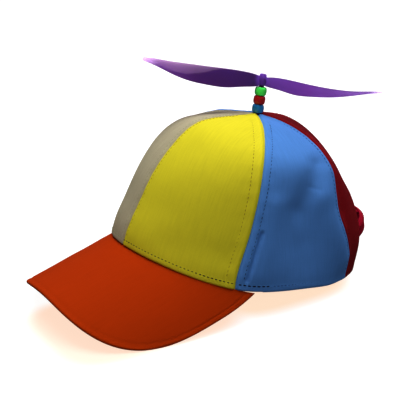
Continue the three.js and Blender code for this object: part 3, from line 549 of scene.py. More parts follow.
for _k, _ang in (("F", 0.0), ("S", 90.0), ("B", 180.0)):
    _p = crown_plain(np.full(401, _ang * RAD), _tt)
    _mer[_k] = np.concatenate([[0], np.cumsum(np.linalg.norm(np.diff(_p, axis=0), axis=1))])


def height_mm(angle, t):
    """Length along the cloth from the rim to t."""
    c = np.cos(angle)
    f, b = np.where(c > 0, c * c, 0), np.where(c < 0, c * c, 0)
    S, F, B = (np.interp(t, _tt, _mer[k]) for k in "SFB")
    return S + (F - S) * f + (B - S) * b


def across_rate(angle, t):
    """mm of cloth for each radian of angle."""
    e = 2e-3
    return np.linalg.norm(crown_plain(angle + e, t) - crown_plain(angle - e, t), axis=-1) / (2 * e)


def panel_relief(P, da, db, v, arch):
    """Outward relief in mm: da and db are mm to the two side edges, v is mm above the rim."""
    seed = P["seed"]
    ra, rb = ROW[P["name"]]
    x = db if arch == "a" else da        # measured from the side that has no arch
    out = 0.12 * waves(x, v, 38.0, seed) * smooth(2, 16, np.minimum(x, v)) + 0.035 * waves(x, v, 13.0, seed + 40)
    for d, row, is_arch in ((da, ra, arch == "a"), (db, rb, arch == "b")):
        if is_arch:
            edge = 1 - smooth(50.0, 62.0, v)
            out = out + edge * 0.3 * np.exp(-((d - 1.6) / 1.5) ** 2)
            continue
        out = out - 0.9 * np.exp(-((d / 1.1) ** 2))
        out = out + 0.24 * smooth(0.4, 2.0, d) * (1 - smooth(row - 0.3, row + 1.2, d))
        pucker = 0.62 + 0.38 * np.cos(2 * math.pi * v / PITCH)
        out = out - 0.30 * pucker * np.exp(-(((d - row) / 0.62) ** 2))
        out = out + 0.10 * np.exp(-(((d - row) / 3.2) ** 2)) * np.sin(2 * math.pi * v / 11.0 + seed)
    hem = 0.62 + 0.38 * np.cos(2 * math.pi * da / PITCH)
    out = out - 0.34 * hem * np.exp(-(((v - HEM_ROW) / 0.7) ** 2))
    out = out + 0.30 * smooth(0.0, 1.6, v) * (1 - smooth(HEM_ROW - 0.6, HEM_ROW + 1.6, v))
    out = out - 0.95 * (1 - smooth(0.0, 1.9, v)) ** 1.5
    return out


def edge_spread(n, k=0.55):
    """n + 1 places from 0 to 1, closer at both ends."""
    x = np.linspace(-1, 1, n + 1)
    return 0.5 + 0.5 * (k * np.sin(x * math.pi / 2) + (1 - k) * x)


def panel_surface(P, u, t):
    """Angle and cloth coordinates (mm to the two side edges, mm above the rim) of a cloth point, for u in 0..1 from
    one side to the other.
    """
    gap = 0.05
    A, B = P["a"](t) * RAD, P["b"](t) * RAD
    rate = across_rate((A + B) / 2, t)
    arch = P.get("arch")
    A = A + np.where((arch == "a") & (t < ARCH_T), 0, gap / np.maximum(rate, 1))
    B = B - np.where((arch == "b") & (t < ARCH_T), 0, gap / np.maximum(rate, 1))
    ang = A + (B - A) * u
    da, db = (ang - A) * rate, (B - ang) * rate
    v = height_mm(ang, t)
    return ang, da, db, v


def build_panel(P, nu=96, nv=150):
    us = edge_spread(nu)
    # rows: close near the rim, then even
    tr = np.linspace(0, 1, nv + 1)
    ts = T_TOP * (0.12 * tr**2 * 0 + tr)
    extra = np.array([0.35, 0.8, 1.3, 1.9]) / MERIDIAN
    ts = np.sort(np.concatenate([ts, extra]))
    if P.get("arch"):
        k = np.linspace(0, 1, 60)
        ts = np.concatenate([ARCH_T * np.sin(k * math.pi / 2), np.linspace(ARCH_T, T_TOP, 96)[1:]])
    nv = len(ts) - 1
    U, T = np.meshgrid(us, ts, indexing="xy")
    ang, da, db, v = panel_surface(P, U, T)
    base = crown(ang, T)
    nrm = normal_of(crown, ang, T)
    relief = panel_relief(P, da, db, v, P.get("arch"))
    outer = base + nrm * relief[..., None]
    inner = base - nrm * (CLOTH - 0.15 * relief)[..., None]
    # the wall's lower edge stands on the bill's slope, and has a rolled hem
    front = np.abs(ang[0]) < CORNER + 0.06
    for arr in (outer, inner):
        z = bill_coords(arr[0, :, 0], arr[0, :, 1])[2] + RIM_GAP
        arr[0, :, 2] = np.where(front, z, rim_height(ang[0]))
    verts = on_floor(rest(np.concatenate([outer.reshape(-1, 3), inner.reshape(-1, 3)])))
    worn_and_sheen = np.clip(1.2 * np.exp(-((v / 2.2) ** 2)) + 0.5 * np.exp(-(((np.minimum(da, db) - 2.4) / 1.6) ** 2)), 0, 1)
    # a paler band along the arch's free edge, fading out 40 to 58 mm up: painted sheen along the dark red's outline
    if P.get("arch"):
        free = np.where(T < ARCH_T, da if P["arch"] == "a" else db, 99.0)
        worn_and_sheen = worn_and_sheen + 1.8 * np.exp(-((free / 6.0) ** 2)) * (1 - smooth(40, 58, v))
    cloth = np.stack([(da - db) / 2 + 200 * P["seed"], v, np.zeros_like(v)], -1).reshape(-1, 3)
    ob = make_object(P["name"] + "_cloth", verts, shell_faces(nu, nv),
                     attrs={"cloth": np.concatenate([cloth, cloth + 37.0]), "worn_and_sheen": np.concatenate([worn_and_sheen.ravel(), 0 * worn_and_sheen.ravel()])}, material=P["mat"])
    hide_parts(P["name"])
    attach(ob, "cap")
    return ob


for P in PANELS:
    build_panel(P)


# ------------------------------------------------------------------ stitches
STITCH = {}


def capsule(m=6):
    """One stitch: a short thread that dips into the cloth at both ends. Axis x, length 1, up z."""
    xs = np.array([-0.5, -0.46, -0.32, 0.0, 0.32, 0.46, 0.5])
    rs = np.array([0.25, 0.7, 1.0, 1.0, 1.0, 0.7, 0.25])
    zs = np.array([-1.2, -0.7, 0.0, 0.25, 0.0, -0.7, -1.2])
    a = np.arange(m) * 2 * math.pi / m
    ring = np.stack([np.zeros(m), np.cos(a), np.sin(a)], -1)
    return xs, rs, zs, ring


def add_stitches(key, pts, along, up, length, radius, sink=0.0):
    """pts, along and up are N x 3, resting frame, mm."""
    xs, rs, zs, ring = capsule()
    m, n = len(ring), len(xs)
    along, up = unit(along), unit(up)
    side = np.cross(up, along)
    L = np.broadcast_to(np.asarray(length, float), (len(pts),))
    V = (pts[:, None, None, :] + up[:, None, None, :] * (zs[None, :, None, None] * radius - sink)
         + along[:, None, None, :] * (xs[None, :, None, None] * L[:, None, None, None])
         + (side[:, None, None, :] * ring[None, None, :, 1, None] + up[:, None, None, :] * ring[None, None, :, 2, None]) * (rs[None, :, None, None] * radius))
    V = V.reshape(-1, 3)
    base = tube_faces(m, n)
    per = m * n
    faces = []
    for k in range(len(pts)):
        faces += [tuple(i + k * per for i in f) for f in base]
    cl = np.stack([np.repeat(np.arange(len(pts)) * 7.3, per) + np.tile(np.repeat(xs * 2.0, m), len(pts)), np.tile(np.tile(ring[:, 1] * 0.4, n), len(pts)), np.zeros(len(V))], -1)
    S = STITCH.setdefault(key, dict(v=[], f=[], c=[], n=0))
    off = S["n"]
    S["v"].append(V)
    S["f"] += [tuple(i + off for i in f) for f in faces]
    S["c"].append(cl)
    S["n"] += len(V)


def panel_outer(P, u, t):
    ang, da, db, v = panel_surface(P, u, t)
    n = normal_of(crown, ang, t)
    return crown(ang, t) + n * panel_relief(P, da, db, v, P.get("arch"))[..., None], n


def run_of_stitches(key, P, u_of, t_of, k0, k1, pitch=PITCH, length=1.85, radius=0.2, seed=0, sink=0.05, n=1500):
    """Stitches along the curve u_of(k), t_of(k) on a panel, from k0 to k1."""
    k = np.linspace(k0, k1, n)
    p, nr = panel_outer(P, u_of(k), t_of(k))
    s = np.concatenate([[0], np.cumsum(np.linalg.norm(np.diff(p, axis=0), axis=1))])
    rng = np.random.RandomState(seed + 11)
    at = np.arange(pitch * 0.5, s[-1] - pitch * 0.3, pitch) + rng.uniform(-0.12, 0.12, len(np.arange(pitch * 0.5, s[-1] - pitch * 0.3, pitch)))
    kk = np.interp(at, s, k)
    e = (k1 - k0) * 0.35 * pitch / s[-1]
    p0, n0 = panel_outer(P, u_of(kk), t_of(kk))
    pa, _ = panel_outer(P, u_of(kk + e), t_of(kk + e))
    pb, _ = panel_outer(P, u_of(kk - e), t_of(kk - e))
    add_stitches(key, rest(p0), rest_dir(pa - pb), rest_dir(n0), length * rng.uniform(0.92, 1.08, len(at)), radius, sink)


def u_at(P, side, dist):
    """u that lies dist mm in from one side, at each t."""
    def f(t):
        A, B = P["a"](t) * RAD, P["b"](t) * RAD
        rate = across_rate((A + B) / 2, t)
        w = np.maximum((B - A) * rate, 1e-6)
        k = np.minimum(dist / w, 0.5)
        return k if side == "a" else 1 - k
    return f


def t_at_height(P, h):
    """t that lies h mm up the cloth, for u."""
    def f(u):
        t = np.full_like(np.asarray(u, float), h / MERIDIAN)
        for _ in range(4):
            A, B = P["a"](t) * RAD, P["b"](t) * RAD
            ang = A + (B - A) * u
            t = t + (h - height_mm(ang, t)) / MERIDIAN
        return t
    return f


ident = lambda k: k
SEAM_THREADS = {
    "panel_front_left": ("olive_a", "olive"), "panel_side_left": ("navy_seam", "blue"), "panel_back_left": ("red", "red"),
    "panel_front_right": ("green", "green"), "panel_side_right": ("blue", "blue"), "panel_back_right": ("red", "red"),
}
HEM_THREADS = {"panel_front_left": "navy", "panel_side_left": "blue", "panel_back_left": "red", "panel_front_right": "green", "panel_side_right": "blue", "panel_back_right": "red"}
for i, P in enumerate(PANELS):
    ra, rb = ROW[P["name"]]
    ka, kb = SEAM_THREADS[P["name"]]
    t_end = T_TOP - 0.09
    for side, row, key in (("a", ra, ka), ("b", rb, kb)):
        run_of_stitches(key, P, u_at(P, side, row), ident, 0.052, t_end, seed=10 * i + (side == "a"))
    hem = t_at_height(P, HEM_ROW)
    if P["name"] == "panel_side_left":
        run_of_stitches("navy_heavy", P, ident, hem, 0.012, 0.235, pitch=3.6, length=2.7, radius=0.46, seed=90)
        run_of_stitches("blue", P, ident, hem, 0.25, 0.985, seed=91)
    else:
        run_of_stitches(HEM_THREADS[P["name"]], P, ident, hem, 0.008, 0.992, seed=92 + i, length=2.0, radius=0.34 if P["name"] == "panel_front_left" else 0.22)
THREAD = {"navy": T_NAVY, "navy_heavy": T_NAVY, "navy_seam": T_NAVY, "olive": T_OLIVE, "olive_a": T_OLIVE, "green": T_GREEN, "blue": T_BLUE, "red": T_RED, "pink": T_PINK}

# ------------------------------------------------------------------ bill
BILL_STEPS = 120


def bill_outline(n):
    cs, cl, _ = bill_coords(rim_x(CORNER), rim_y(CORNER))
    k = np.linspace(0, 1, 40)[:-1]
    l1 = cl + (BILL_BROAD - cl) * k
    s1 = BILL_HALF - (BILL_HALF - cs) * ((BILL_BROAD - l1) / (BILL_BROAD - cl)) ** 2
    a = np.linspace(0, 1, 400) * math.pi / 2
    s2 = BILL_HALF * np.maximum(np.cos(a), 0) ** (2 / BILL_ROUND)
    l2 = BILL_BROAD + (BILL_LENGTH - BILL_BROAD) * np.sin(a) ** (2 / BILL_ROUND)
    s, l = np.concatenate([s1, s2]), np.concatenate([l1, l2])
    s[-1] = 0
    s, l = np.concatenate([s, -s[::-1][1:]]), np.concatenate([l, l[::-1][1:]])
    d = np.concatenate([[0], np.cumsum(np.hypot(np.diff(s), np.diff(l)))])
    q = np.linspace(0, d[-1], 2 * n + 1)
    return np.interp(q, d, s), np.interp(q, d, l), d[-1]


def build_bill():
    n = BILL_STEPS
    So, Lo, length = bill_outline(n)
    k = np.linspace(1, -1, 2 * n + 1)
    # matching inner points: even along the rim, tucked in under the crown
    a = (CORNER - 2.5 * RAD) * k
    tuck = 2.0 * (1 - np.abs(k) ** 3) + 0.3
    Si, Li, _ = bill_coords((HALF_WIDTH - tuck) * np.sin(a), -(FRONT - tuck) * np.cos(a))
    reach = np.hypot(So - Si, Lo - Li)
    m = 46
    v = np.linspace(0, 1, m + 1) ** 0.92
    r = BILL_THICK / 2
    rows_s, rows_l, rows_h = [], [], []
    for vv in v:
        f = vv * np.maximum(0.3, 1 - r / np.maximum(reach, 1e-6))
        rows_s.append(Si + (So - Si) * f)
        rows_l.append(Li + (Lo - Li) * f)
        rows_h.append(np.zeros_like(Si))
    # round outer edge, over the top and underneath
    f0 = np.maximum(0.3, 1 - r / np.maximum(reach, 1e-6))
    for ang in np.linspace(0, math.pi, 13)[1:-1]:
        f = f0 + (1 - f0) * math.sin(ang)
        rows_s.append(Si + (So - Si) * f)
        rows_l.append(Li + (Lo - Li) * f)
        rows_h.append(np.full_like(Si, -r + r * math.cos(ang)))
    for vv in v[::-1]:
        f = vv * f0
        rows_s.append(Si + (So - Si) * f)
        rows_l.append(Li + (Lo - Li) * f)
        rows_h.append(np.full_like(Si, -BILL_THICK))
    S, L, H = np.array(rows_s), np.array(rows_l), np.array(rows_h)
    # soft relief: a piped edge with a groove behind it, and a gentle unevenness of the covering
    edge = np.minimum(np.hypot(So - S, Lo - L), 60)
    top = (H > -0.01)
    relief = np.where(top, -0.28 * np.exp(-(((edge - 4.6) / 0.9) ** 2)) + 0.12 * waves(S, L, 40, 71), 0.0)
    P = bill_point(S, L) + bill_normal(S) * (H + relief)[..., None]
    verts = on_floor(rest(P.reshape(-1, 3)))
    nu, nv = 2 * n, len(S) - 1
    faces = [tuple(f) for f in grid_faces(nu, nv, 0, False)]
    # close the tucked edge and the two corners
    w = nu + 1
    last = nv * w
    for i in range(nu):
        faces.append((last + i, last + i + 1, i + 1, i))
    def corner_cap(i, flip):
        ring = [j * w + i for j in range(nv + 1)]
        half = len(ring) // 2
        out = []
        for q in range(half):
            a, b, c, d = ring[q], ring[q + 1], ring[-q - 2], ring[-q - 1]
            f = [a, b, c, d]
            f = [x for n_, x in enumerate(f) if x not in f[:n_]]
            if len(f) >= 3:
                out.append(tuple(f[::-1] if flip else f))
        return out
    faces += corner_cap(0, True) + corner_cap(nu, False)
    cloth = np.stack([S, L, H * 0], -1).reshape(-1, 3)
    worn_and_sheen = np.clip(1.1 * np.exp(-((edge / 2.0) ** 2)), 0, 1).ravel()
    ob = make_object("bill_cloth", verts, faces, attrs={"cloth": cloth, "worn_and_sheen": worn_and_sheen}, material=ORANGE)
    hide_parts("bill")
    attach(ob, "cap")
    return ob


build_bill()

# ------------------------------------------------------------------ closure straps
c_out, c_rise = spline(CLOSURE["angle"], CLOSURE["out"]), spline(CLOSURE["angle"], CLOSURE["rise"])
sw = spline(STRAP_SECTION["up"], STRAP_SECTION["swell"])


def closure_point(deg, out):
    a = (180 - deg) * RAD
    n = unit(np.stack([np.sin(a) / HALF_WIDTH, -np.cos(a) / BACK, 0 * a], -1))
    p = np.stack([rim_x(a), -BACK * np.cos(a), c_rise(np.abs(deg))], -1)
    return p + n * (c_out(np.abs(deg)) + out)[..., None]


def strap_frame(strap, k):
    name, side, a0, a1, lift, out = strap
    along = a0 + (a1 - a0) * k
    ease = out * np.clip((30 - along) / 12, 0, 1)
    at = along * side
    c = closure_point(at, ease)
    ahead = closure_point(at + 0.2, ease) - closure_point(at - 0.2, ease)
    outward = unit(np.stack([-ahead[:, 1], ahead[:, 0], 0 * ahead[:, 0]], -1))
    outward = outward * np.sign(outward[:, 1:2])
    squeeze = np.clip((30 - along) / 10, 0, 1)
    return c, outward, squeeze, lift


def strap_face(strap, k, up, depth=0.0):
    c, outward, squeeze, lift = strap_frame(strap, k)
    p = c + outward * (sw(up) * squeeze - depth)[..., None]
    p[:, 2] += up + lift
    return p, outward


def build_strap(strap):
    n, m = 150, 34
    ks = np.linspace(0, 1, n + 1)
    ups = 10.8 * np.sin(np.linspace(-1, 1, m + 1) * math.pi / 2)
    c, outward, squeeze, lift = strap_frame(strap, ks)
    s = np.concatenate([[0], np.cumsum(np.linalg.norm(np.diff(c, axis=0), axis=1))])
    rings, cl, wn = [], [], []
    for j in range(n + 1):
        stitch = 0.18 * (0.6 + 0.4 * math.cos(2 * math.pi * s[j] / PITCH))
        rel = -stitch * (np.exp(-(((np.abs(ups) - 9.3) / 0.6) ** 2))) + 0.10 * waves(np.full_like(ups, s[j]), ups, 14.0, 31)
        o = c[j] + outward[j] * (sw(ups) * squeeze[j] + rel)[:, None]
        o[:, 2] += ups + lift
        i = c[j] + outward[j] * (sw(ups) * squeeze[j] - STRAP_THICK)[:, None]
        i[:, 2] += ups + lift
        top = (o[-1] + i[-1]) / 2 + np.array([0, 0, 0.35])
        bot = (o[0] + i[0]) / 2 - np.array([0, 0, 0.35])
        ring = np.concatenate([o, top[None], i[::-1], bot[None]])
        rings.append(ring)
        cl.append(np.stack([np.concatenate([ups, [11.9], ups[::-1] + 40, [-11.9]]), np.full(len(ring), s[j]), np.zeros(len(ring))], -1))
        wn.append(np.concatenate([np.exp(-(((11.5 - np.abs(ups)) / 1.2) ** 2)), [1], 0 * ups, [1]]))
    mm = len(rings[0])
    V = np.concatenate(rings)
    faces = tube_faces(mm, n + 1)
    if strap[1] < 0:
        faces = [f[::-1] for f in faces]
    ob = make_object(strap[0] + "_cloth", on_floor(rest(V)), faces, attrs={"cloth": np.concatenate(cl), "worn_and_sheen": np.concatenate(wn)}, material=STRAPRED)
    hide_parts(strap[0])
    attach(ob, "cap")
    # stitch rows near both edges, and across the free end
    for up in (-9.3, 9.3):
        at = np.arange(2, s[-1] - 2.5, PITCH)
        kk = np.interp(at, s, ks)
        p, o = strap_face(strap, kk, np.full_like(kk, up))
        pa, _ = strap_face(strap, kk + 0.004, np.full_like(kk, up))
        add_stitches("pink", rest(p + o * 0.02), rest_dir(pa - p), rest_dir(o), 1.8, 0.2, 0.05)
    up = np.arange(-8.4, 8.5, 2.8)
    kk = np.full_like(up, np.interp(s[-1] - 2.2, s, ks))
    p, o = strap_face(strap, kk, up)
    pa, _ = strap_face(strap, kk, up + 0.3)
    add_stitches("pink", rest(p + o * 0.02), rest_dir(pa - p), rest_dir(o), 1.8, 0.2, 0.05)


for strap in STRAPS:
    build_strap(strap)

for key, S in STITCH.items():
    ob = make_object("stitches_" + key, np.concatenate(S["v"]), S["f"], attrs={"cloth": np.concatenate(S["c"])}, material=THREAD[key])
    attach(ob, "cap")

# ------------------------------------------------------------------ stem and beads, on the crown's axis
POST = Matrix.Translation(Vector(rest(np.array([0, TOP_SHIFT, CROWN_HEIGHT])))) @ Matrix.Rotation(-REST_TILT * RAD, 4, "X")
POST_N = np.array(POST)


def on_post(p):
    p = np.asarray(p, float)
    return p @ POST_N[:3, :3].T + POST_N[:3, 3]


def lathe(name, profile, seg, closed, material, attrs=None):
    """profile: list of (r, z), counter-clockwise in the r, z plane when it is closed."""
    pr = np.asarray(profile, float)
    a = np.arange(seg) * 2 * math.pi / seg
    V, faces = [], []
    n = len(pr)
    for i in range(n):
        V.append(np.stack([pr[i, 0] * np.cos(a), pr[i, 0] * np.sin(a), np.full(seg, pr[i, 1])], -1))
    V = np.concatenate(V)
    k = (np.arange(seg) + 1) % seg
    for i in range(n if closed else n - 1):
        b = (i + 1) % n
        for j in range(seg):
            faces.append((i * seg + j, i * seg + k[j], b * seg + k[j], b * seg + j))
    if not closed:
        faces.append(tuple(range(seg))[::-1])
        faces.append(tuple(range((n - 1) * seg, n * seg)))
    return V, faces


def rounded(points, radius, steps=5):
    """A closed or open profile with its corners rounded."""
    out = []
    pts = [np.array(p, float) for p in points]
    for i, p in enumerate(pts):
        if i in (0, len(pts) - 1):
            out.append(p)
            continue
        a, b = pts[i - 1] - p, pts[i + 1] - p
        la, lb = np.linalg.norm(a), np.linalg.norm(b)
        d = min(radius, la * 0.45, lb * 0.45)
        p0, p1 = p + a / la * d, p + b / lb * d
        for q in np.linspace(0, 1, steps):
            out.append((1 - q) ** 2 * p0 + 2 * q * (1 - q) * p + q * q * p1)
    return out


head = -1.6 - 1.1
V, F = lathe("stem", rounded([(0.05, head - 1.0), (6.5, head - 1.0), (6.5, head), (STEM_R, head), (STEM_R, HUB_BOTTOM + HUB_BORE_DEPTH - 0.4), (0.05, HUB_BOTTOM + HUB_BORE_DEPTH - 0.4)], 0.45), 48, False, STEMMAT)
ob = make_object("stem_post", on_post(V), F, material=STEMMAT)
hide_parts("stem")
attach(ob, "cap")

z0 = 0.3
for name in ("bead_blue", "bead_red", "bead_green"):
    h = BEAD_H / 2
    a = np.linspace(-math.pi / 2, math.pi / 2, 25)
    # barrel: nearly round shoulders, a short straight waist, a rounded hole edge
    e = 2.0 / 2.6
    r_out = 2.95 + (BEAD_R - 2.95) * np.abs(np.cos(a)) ** e
    z_out = h * np.sign(np.sin(a)) * np.abs(np.sin(a)) ** e
    prof = [(r, z) for r, z in zip(r_out, z_out)]
    b = np.linspace(0, 1, 9)[1:]
    prof += [(2.95 - 0.65 * math.sin(q * math.pi / 2), h - 0.65 * (1 - math.cos(q * math.pi / 2))) for q in b]
    prof += [(BEAD_HOLE_R, z) for z in np.linspace(h - 0.65, -h + 0.65, 6)[1:-1]]
    prof += [(2.95 - 0.65 * math.cos(q * math.pi / 2), -h + 0.65 * (1 - math.sin(q * math.pi / 2))) for q in b[:-1]]
    prof = [(BEAD_HOLE_R, -h + 0.65)] + prof if False else prof
    V, F = lathe(name, prof, 72, True, None)
    # a faint mould line round the waist
    rr = np.hypot(V[:, 0], V[:, 1])
    lift = 0.035 * np.exp(-((V[:, 2] / 0.16) ** 2)) * (rr > 4.0)
    V[:, :2] *= (1 + lift / np.maximum(rr, 0.1))[:, None]
    V[:, 2] += z0 + h
    ob = make_object(name + "_glossy", on_post(V), F, material=BEADMAT[name])
    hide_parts(name)
    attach(ob, "cap")
    z0 += BEAD_H + 0.3

# ------------------------------------------------------------------ propeller
bl = {k: spline(BLADE["r"], v) for k, v in BLADE.items() if k != "r"}


def blade_mesh(turn):
    n, m = 110, 15
    k = np.linspace(0, 1, n + 1)
    r0, r1 = BLADE["r"][0], BLADE["r"][-1]
    R = r0 + (r1 - r0) * np.sin(k * 1.42) / math.sin(1.42)
    rings, at = [], []
    x = -np.cos(np.linspace(0, 1, m + 1) * math.pi) * 0.5          # along the chord, closer at the edges
    thick_of = np.sqrt(np.maximum(0, 1 - (2 * x) ** 2)) * 0.75 + 0.25
    for r in R:
        chord, p = float(bl["chord"](r)), float(bl["pitch"](r)) * RAD
        tip = math.sqrt(max(0.0, 1 - max(0.0, (r - 88.0) / (r1 - 88.0)) ** 2.2)) if r > 88 else 1.0
        chord = chord if r <= 88 else float(bl["chord"](88.0)) * tip + 0.5
        along, up = np.array([0, math.cos(p), math.sin(p)]), np.array([0, -math.sin(p), math.cos(p)])
        th = BLADE_THICK * (1 - 0.45 * (r / r1)) * min(1.0, max(0.4, chord / 6))
        mid = np.array([r, float(bl["lead"](r)), float(bl["rise"](r))])
        camber = 0.035 * chord * (1 - (2 * x) ** 2)
        topv = mid + along * (x * chord)[:, None] + up * (camber + th / 2 * thick_of)[:, None]
        botv = mid + along * (x * chord)[:, None] + up * (camber - th / 2 * thick_of)[:, None]
        rings.append(np.concatenate([topv, botv[::-1]]))
        at.append(np.stack([np.full(2 * m + 2, r), np.concatenate([x, x[::-1]]) * chord, np.zeros(2 * m + 2)], -1))
    V = np.concatenate(rings)
    c, s = math.cos(turn), math.sin(turn)
    V = np.stack([c * V[:, 0] - s * V[:, 1], s * V[:, 0] + c * V[:, 1], V[:, 2] + BLADE_HEIGHT], -1)
    faces = [f[::-1] for f in tube_faces(2 * m + 2, n + 1)]
    return V, faces, np.concatenate(at)


def build_propeller():
    parts = []
    for turn in (0.0, math.pi):
        V, F, at = blade_mesh(turn)
        parts.append(make_object("tmp_blade", V / MM * MM, F, attrs={"blade": at}))
    prof = rounded([(0.04, HUB_BOTTOM), (HUB_R, HUB_BOTTOM), (HUB_R, HUB_TOP - 1.9), (HUB_R - 0.35, HUB_TOP - 1.3), (HUB_R - 0.5, HUB_TOP), (0.04, HUB_TOP)], 0.9, 6)
    V, F = lathe("hub", prof, 56, False, None)
    hub = make_object("propeller_moulded", V, F, attrs={"blade": np.zeros((len(V), 3))})
    V, F = lathe("bore", [(0.03, HUB_BOTTOM - 1), (HUB_BORE_R, HUB_BOTTOM - 1), (HUB_BORE_R, HUB_BOTTOM + HUB_BORE_DEPTH), (0.03, HUB_BOTTOM + HUB_BORE_DEPTH)], 56, False, None)
    bore = make_object("tmp_bore", V, F)
    for other, op in ((parts[0], "UNION"), (parts[1], "UNION"), (bore, "DIFFERENCE")):
        mod = hub.modifiers.new("b", "BOOLEAN")
        mod.operation, mod.object, mod.solver = op, other, "EXACT"
        bpy.context.view_layer.objects.active = hub
        with bpy.context.temp_override(object=hub, active_object=hub, selected_objects=[hub]):
            bpy.ops.object.modifier_apply(modifier=mod.name)
        bpy.data.objects.remove(other)
    me = hub.data
    bm = bmesh.new()
    bm.from_mesh(me)
    bmesh.ops.remove_doubles(bm, verts=bm.verts, dist=0.03 * MM)
    bmesh.ops.triangulate(bm, faces=bm.faces)
    bmesh.ops.dissolve_degenerate(bm, edges=bm.edges, dist=0.01 * MM)
    bmesh.ops.triangulate(bm, faces=bm.faces)
    bm.to_mesh(me)
    bm.free()
    co = np.zeros(len(me.vertices) * 3)
    me.vertices.foreach_get("co", co)
    co = co.reshape(-1, 3) / MM
    # blade coordinates for the material, from the place itself
    r = np.hypot(co[:, 0], co[:, 1])
    across = np.where(co[:, 0] > 0, co[:, 1], -co[:, 1])
    if "blade" in me.attributes:
        me.attributes.remove(me.attributes["blade"])
    at = me.attributes.new("blade", "FLOAT_VECTOR", "POINT")
    at.data.foreach_set("vector", np.stack([r, across, 0 * r], -1).astype(np.float32).ravel())
    c, s = math.cos(BLADE_YAW * RAD), math.sin(BLADE_YAW * RAD)
    w = np.stack([c * co[:, 0] - s * co[:, 1], s * co[:, 0] + c * co[:, 1], co[:, 2]], -1)
    w = on_post(w) * MM
    me.vertices.foreach_set("co", w.astype(np.float32).ravel())
    me.materials.clear()
    me.materials.append(PURPLE)
    me.shade_smooth()
    me.set_sharp_from_angle(angle=50 * RAD)
    me.update()
    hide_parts("propeller")
    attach(hub, "propeller")
    return hub


build_propeller()

# ------------------------------------------------------------------ floor, light and camera
def floor():
    """A pale sweep: flat for 5 m all round, then turning up."""
    seg = 96
    radii = [(0.0, 0.0)] + [(r, 0.0) for r in (0.2, 0.4, 0.7, 1.0, 1.5, 2.2, 3.2, 4.4, 5.0)]
    radii += [(5.0 + 0.9 * math.sin(a), 0.9 - 0.9 * math.cos(a)) for a in np.linspace(0, math.pi / 2, 9)[1:]] + [(5.9, 1.7)]
    verts, faces = [(0, 0, 0)], []
    for r, z in radii[1:]:
        verts += [(r * math.cos(2 * math.pi * k / seg), r * math.sin(2 * math.pi * k / seg), z) for k in range(seg)]
    for k in range(seg):
        faces.append((0, 1 + k, 1 + (k + 1) % seg))
    for q in range(len(radii) - 2):
        a, b = 1 + q * seg, 1 + (q + 1) * seg
        for k in range(seg):
            faces.append((a + k, b + k, b + (k + 1) % seg, a + (k + 1) % seg))
    me = bpy.data.meshes.new("floor")
    me.from_pydata(verts, [], faces)
    me.shade_smooth()
    ob = bpy.data.objects.new("floor", me)
    bpy.context.scene.collection.objects.link(ob)
    m, nt, bs = new_material("floor_pale")
    tc = node(nt, "ShaderNodeTexCoord").outputs["Object"]
    n = node(nt, "ShaderNodeTexNoise", {"Vector": tc, "Scale": 6.0, "Detail": 2.0}).outputs["Fac"]
    nt.links.new(mix_color(nt, math_node(nt, "MULTIPLY", n, 0.2), FLOOR_COLOR, shade(FLOOR_COLOR, 0.95)), bs.inputs["Base Color"])
    sep = node(nt, "ShaderNodeSeparateXYZ", {0: tc})
    part = lambda out, mid, half: math_node(nt, "POWER", math_node(nt, "ABSOLUTE", math_node(nt, "DIVIDE", math_node(nt, "SUBTRACT", out, mid), half)), 4.0)

    # 0 inside a painted shadow patch on the floor, rising to 1 clear of it
    def outside_painted_shadow(x, y, half_x, half_y, full, none):
        away = math_node(nt, "POWER", math_node(nt, "ADD", part(sep.outputs[0], x, half_x), part(sep.outputs[1], y, half_y)), 0.25)
        return node(nt, "ShaderNodeMapRange", {"Value": away, "From Min": full, "From Max": none, "To Min": 0.0, "To Max": 1.0}, clamp=True, interpolation_type="SMOOTHSTEP").outputs[0]

    # painted shadow on the floor, warm with the cloth's bounced colour: one patch under the bill, one under the crown
    painted_shadow_under_crown = mix_color(nt, outside_painted_shadow(0.0, 0.036, 0.082, 0.064, 0.8, 1.03), (1.0, 0.785, 0.61, 1), (1.0, 0.995, 0.985, 1))
    nt.links.new(mix_color(nt, outside_painted_shadow(0.024, -0.08, 0.056, 0.072, 0.86, 1.12), (1.0, 0.77, 0.63, 1), painted_shadow_under_crown), bs.inputs["Emission Color"])
    bs.inputs["Emission Strength"].default_value = FLOOR_GLOW
    bs.inputs["Roughness"].default_value = 0.7
    bs.inputs["Specular IOR Level"].default_value = 0.1
    me.materials.append(m)
    ob.visible_diffuse = False        # it glows for the camera only, and throws no light up
    ob.visible_glossy = False
    ob.visible_transmission = False


FLOOR_COLOR = (0.17, 0.175, 0.18, 1.0)
FLOOR_GLOW = 0.97
floor()


def area(name, loc, target, size, power, color=(1, 1, 1)):
    li = bpy.data.lights.new(name, "AREA")
    li.shape = "RECTANGLE"
    li.size, li.size_y = size
    li.energy = power
    li.color = color
    ob = bpy.data.objects.new(name, li)
    ob.location = loc
    d = Vector(target) - Vector(loc)
    ob.rotation_euler = d.to_track_quat("-Z", "Y").to_euler()
    bpy.context.scene.collection.objects.link(ob)
    return ob


key = area("key_above", (-0.04, 0.04, 1.5), (0, 0, 0.08), (1.1, 1.1), 30.0, (1.0, 0.995, 0.975))
key.visible_glossy = False
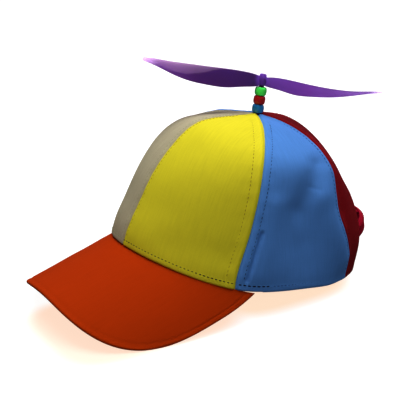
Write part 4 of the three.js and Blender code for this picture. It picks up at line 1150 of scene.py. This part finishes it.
# a screen behind on the right-hand side of the cap; the outer half of one blade mirrors it
screen = area("screen_behind", (-0.88, 1.04, 0.87), (0, 0.05, 0.17), (1.1, 1.06), 10.0, (1.0, 0.66, 0.86))
screen.visible_diffuse = False
area("fill_behind", (-1.0, 0.0, 1.2), (0, 0, 0.08), (0.8, 0.8), 4.0, (0.98, 0.99, 1.0)).visible_glossy = False
area("fill_front", (1.3, -0.35, 0.55), (0, 0, 0.08), (1.0, 1.0), 5.0, (1.0, 1.0, 1.0)).visible_glossy = False
area("fill_back", (-0.25, 1.5, 0.35), (0, 0, 0.08), (0.8, 0.8), 8.0, (1.0, 0.98, 0.98)).visible_glossy = False
world = bpy.data.worlds.new("studio")
bpy.context.scene.world = world
world.use_nodes = True
bg = world.node_tree.nodes["Background"]
bg.inputs[0].default_value = (1.0, 1.0, 1.0, 1)
bg.inputs[1].default_value = 0.14

# the camera stands where the photograph was taken from, worked out against the cap before it is tilted to rest
CAM = dict(az=57.974, el=19.971, tilt=9.829, D=804.946, f_px=1039.308, tx=-21.212, tz=38.959)
az, el = CAM["az"] * RAD, CAM["el"] * RAD
back = np.array([math.sin(az) * math.cos(el), -math.cos(az) * math.cos(el), math.sin(el)])
right = np.array([math.cos(az), math.sin(az), 0.0])
upv = np.cross(back, right)
C = right * CAM["tx"] + np.array([0, 0, CAM["tz"]]) + back * CAM["D"]
ct, st = math.cos(CAM["tilt"] * RAD), math.sin(CAM["tilt"] * RAD)
to_cap = lambda v: np.array([v[0], ct * v[1] - st * v[2], st * v[1] + ct * v[2]])
Cw = rest(to_cap(C))
R, U_, B_ = (rest_dir(to_cap(v)) for v in (right, upv, back))
cam = bpy.data.cameras.new("camera")
cam.sensor_width = 36.0
cam.sensor_fit = "HORIZONTAL"
cam.lens = CAM["f_px"] * 36.0 / 416.0
cam.clip_start, cam.clip_end = 0.01, 50
co = bpy.data.objects.new("camera", cam)
co.matrix_world = Matrix(((R[0], U_[0], B_[0], Cw[0] * MM), (R[1], U_[1], B_[1], Cw[1] * MM), (R[2], U_[2], B_[2], Cw[2] * MM), (0, 0, 0, 1)))
bpy.context.scene.collection.objects.link(co)
bpy.context.scene.camera = co
bpy.context.scene.view_settings.view_transform = "Standard"
bpy.context.scene.view_settings.gamma = 0.8
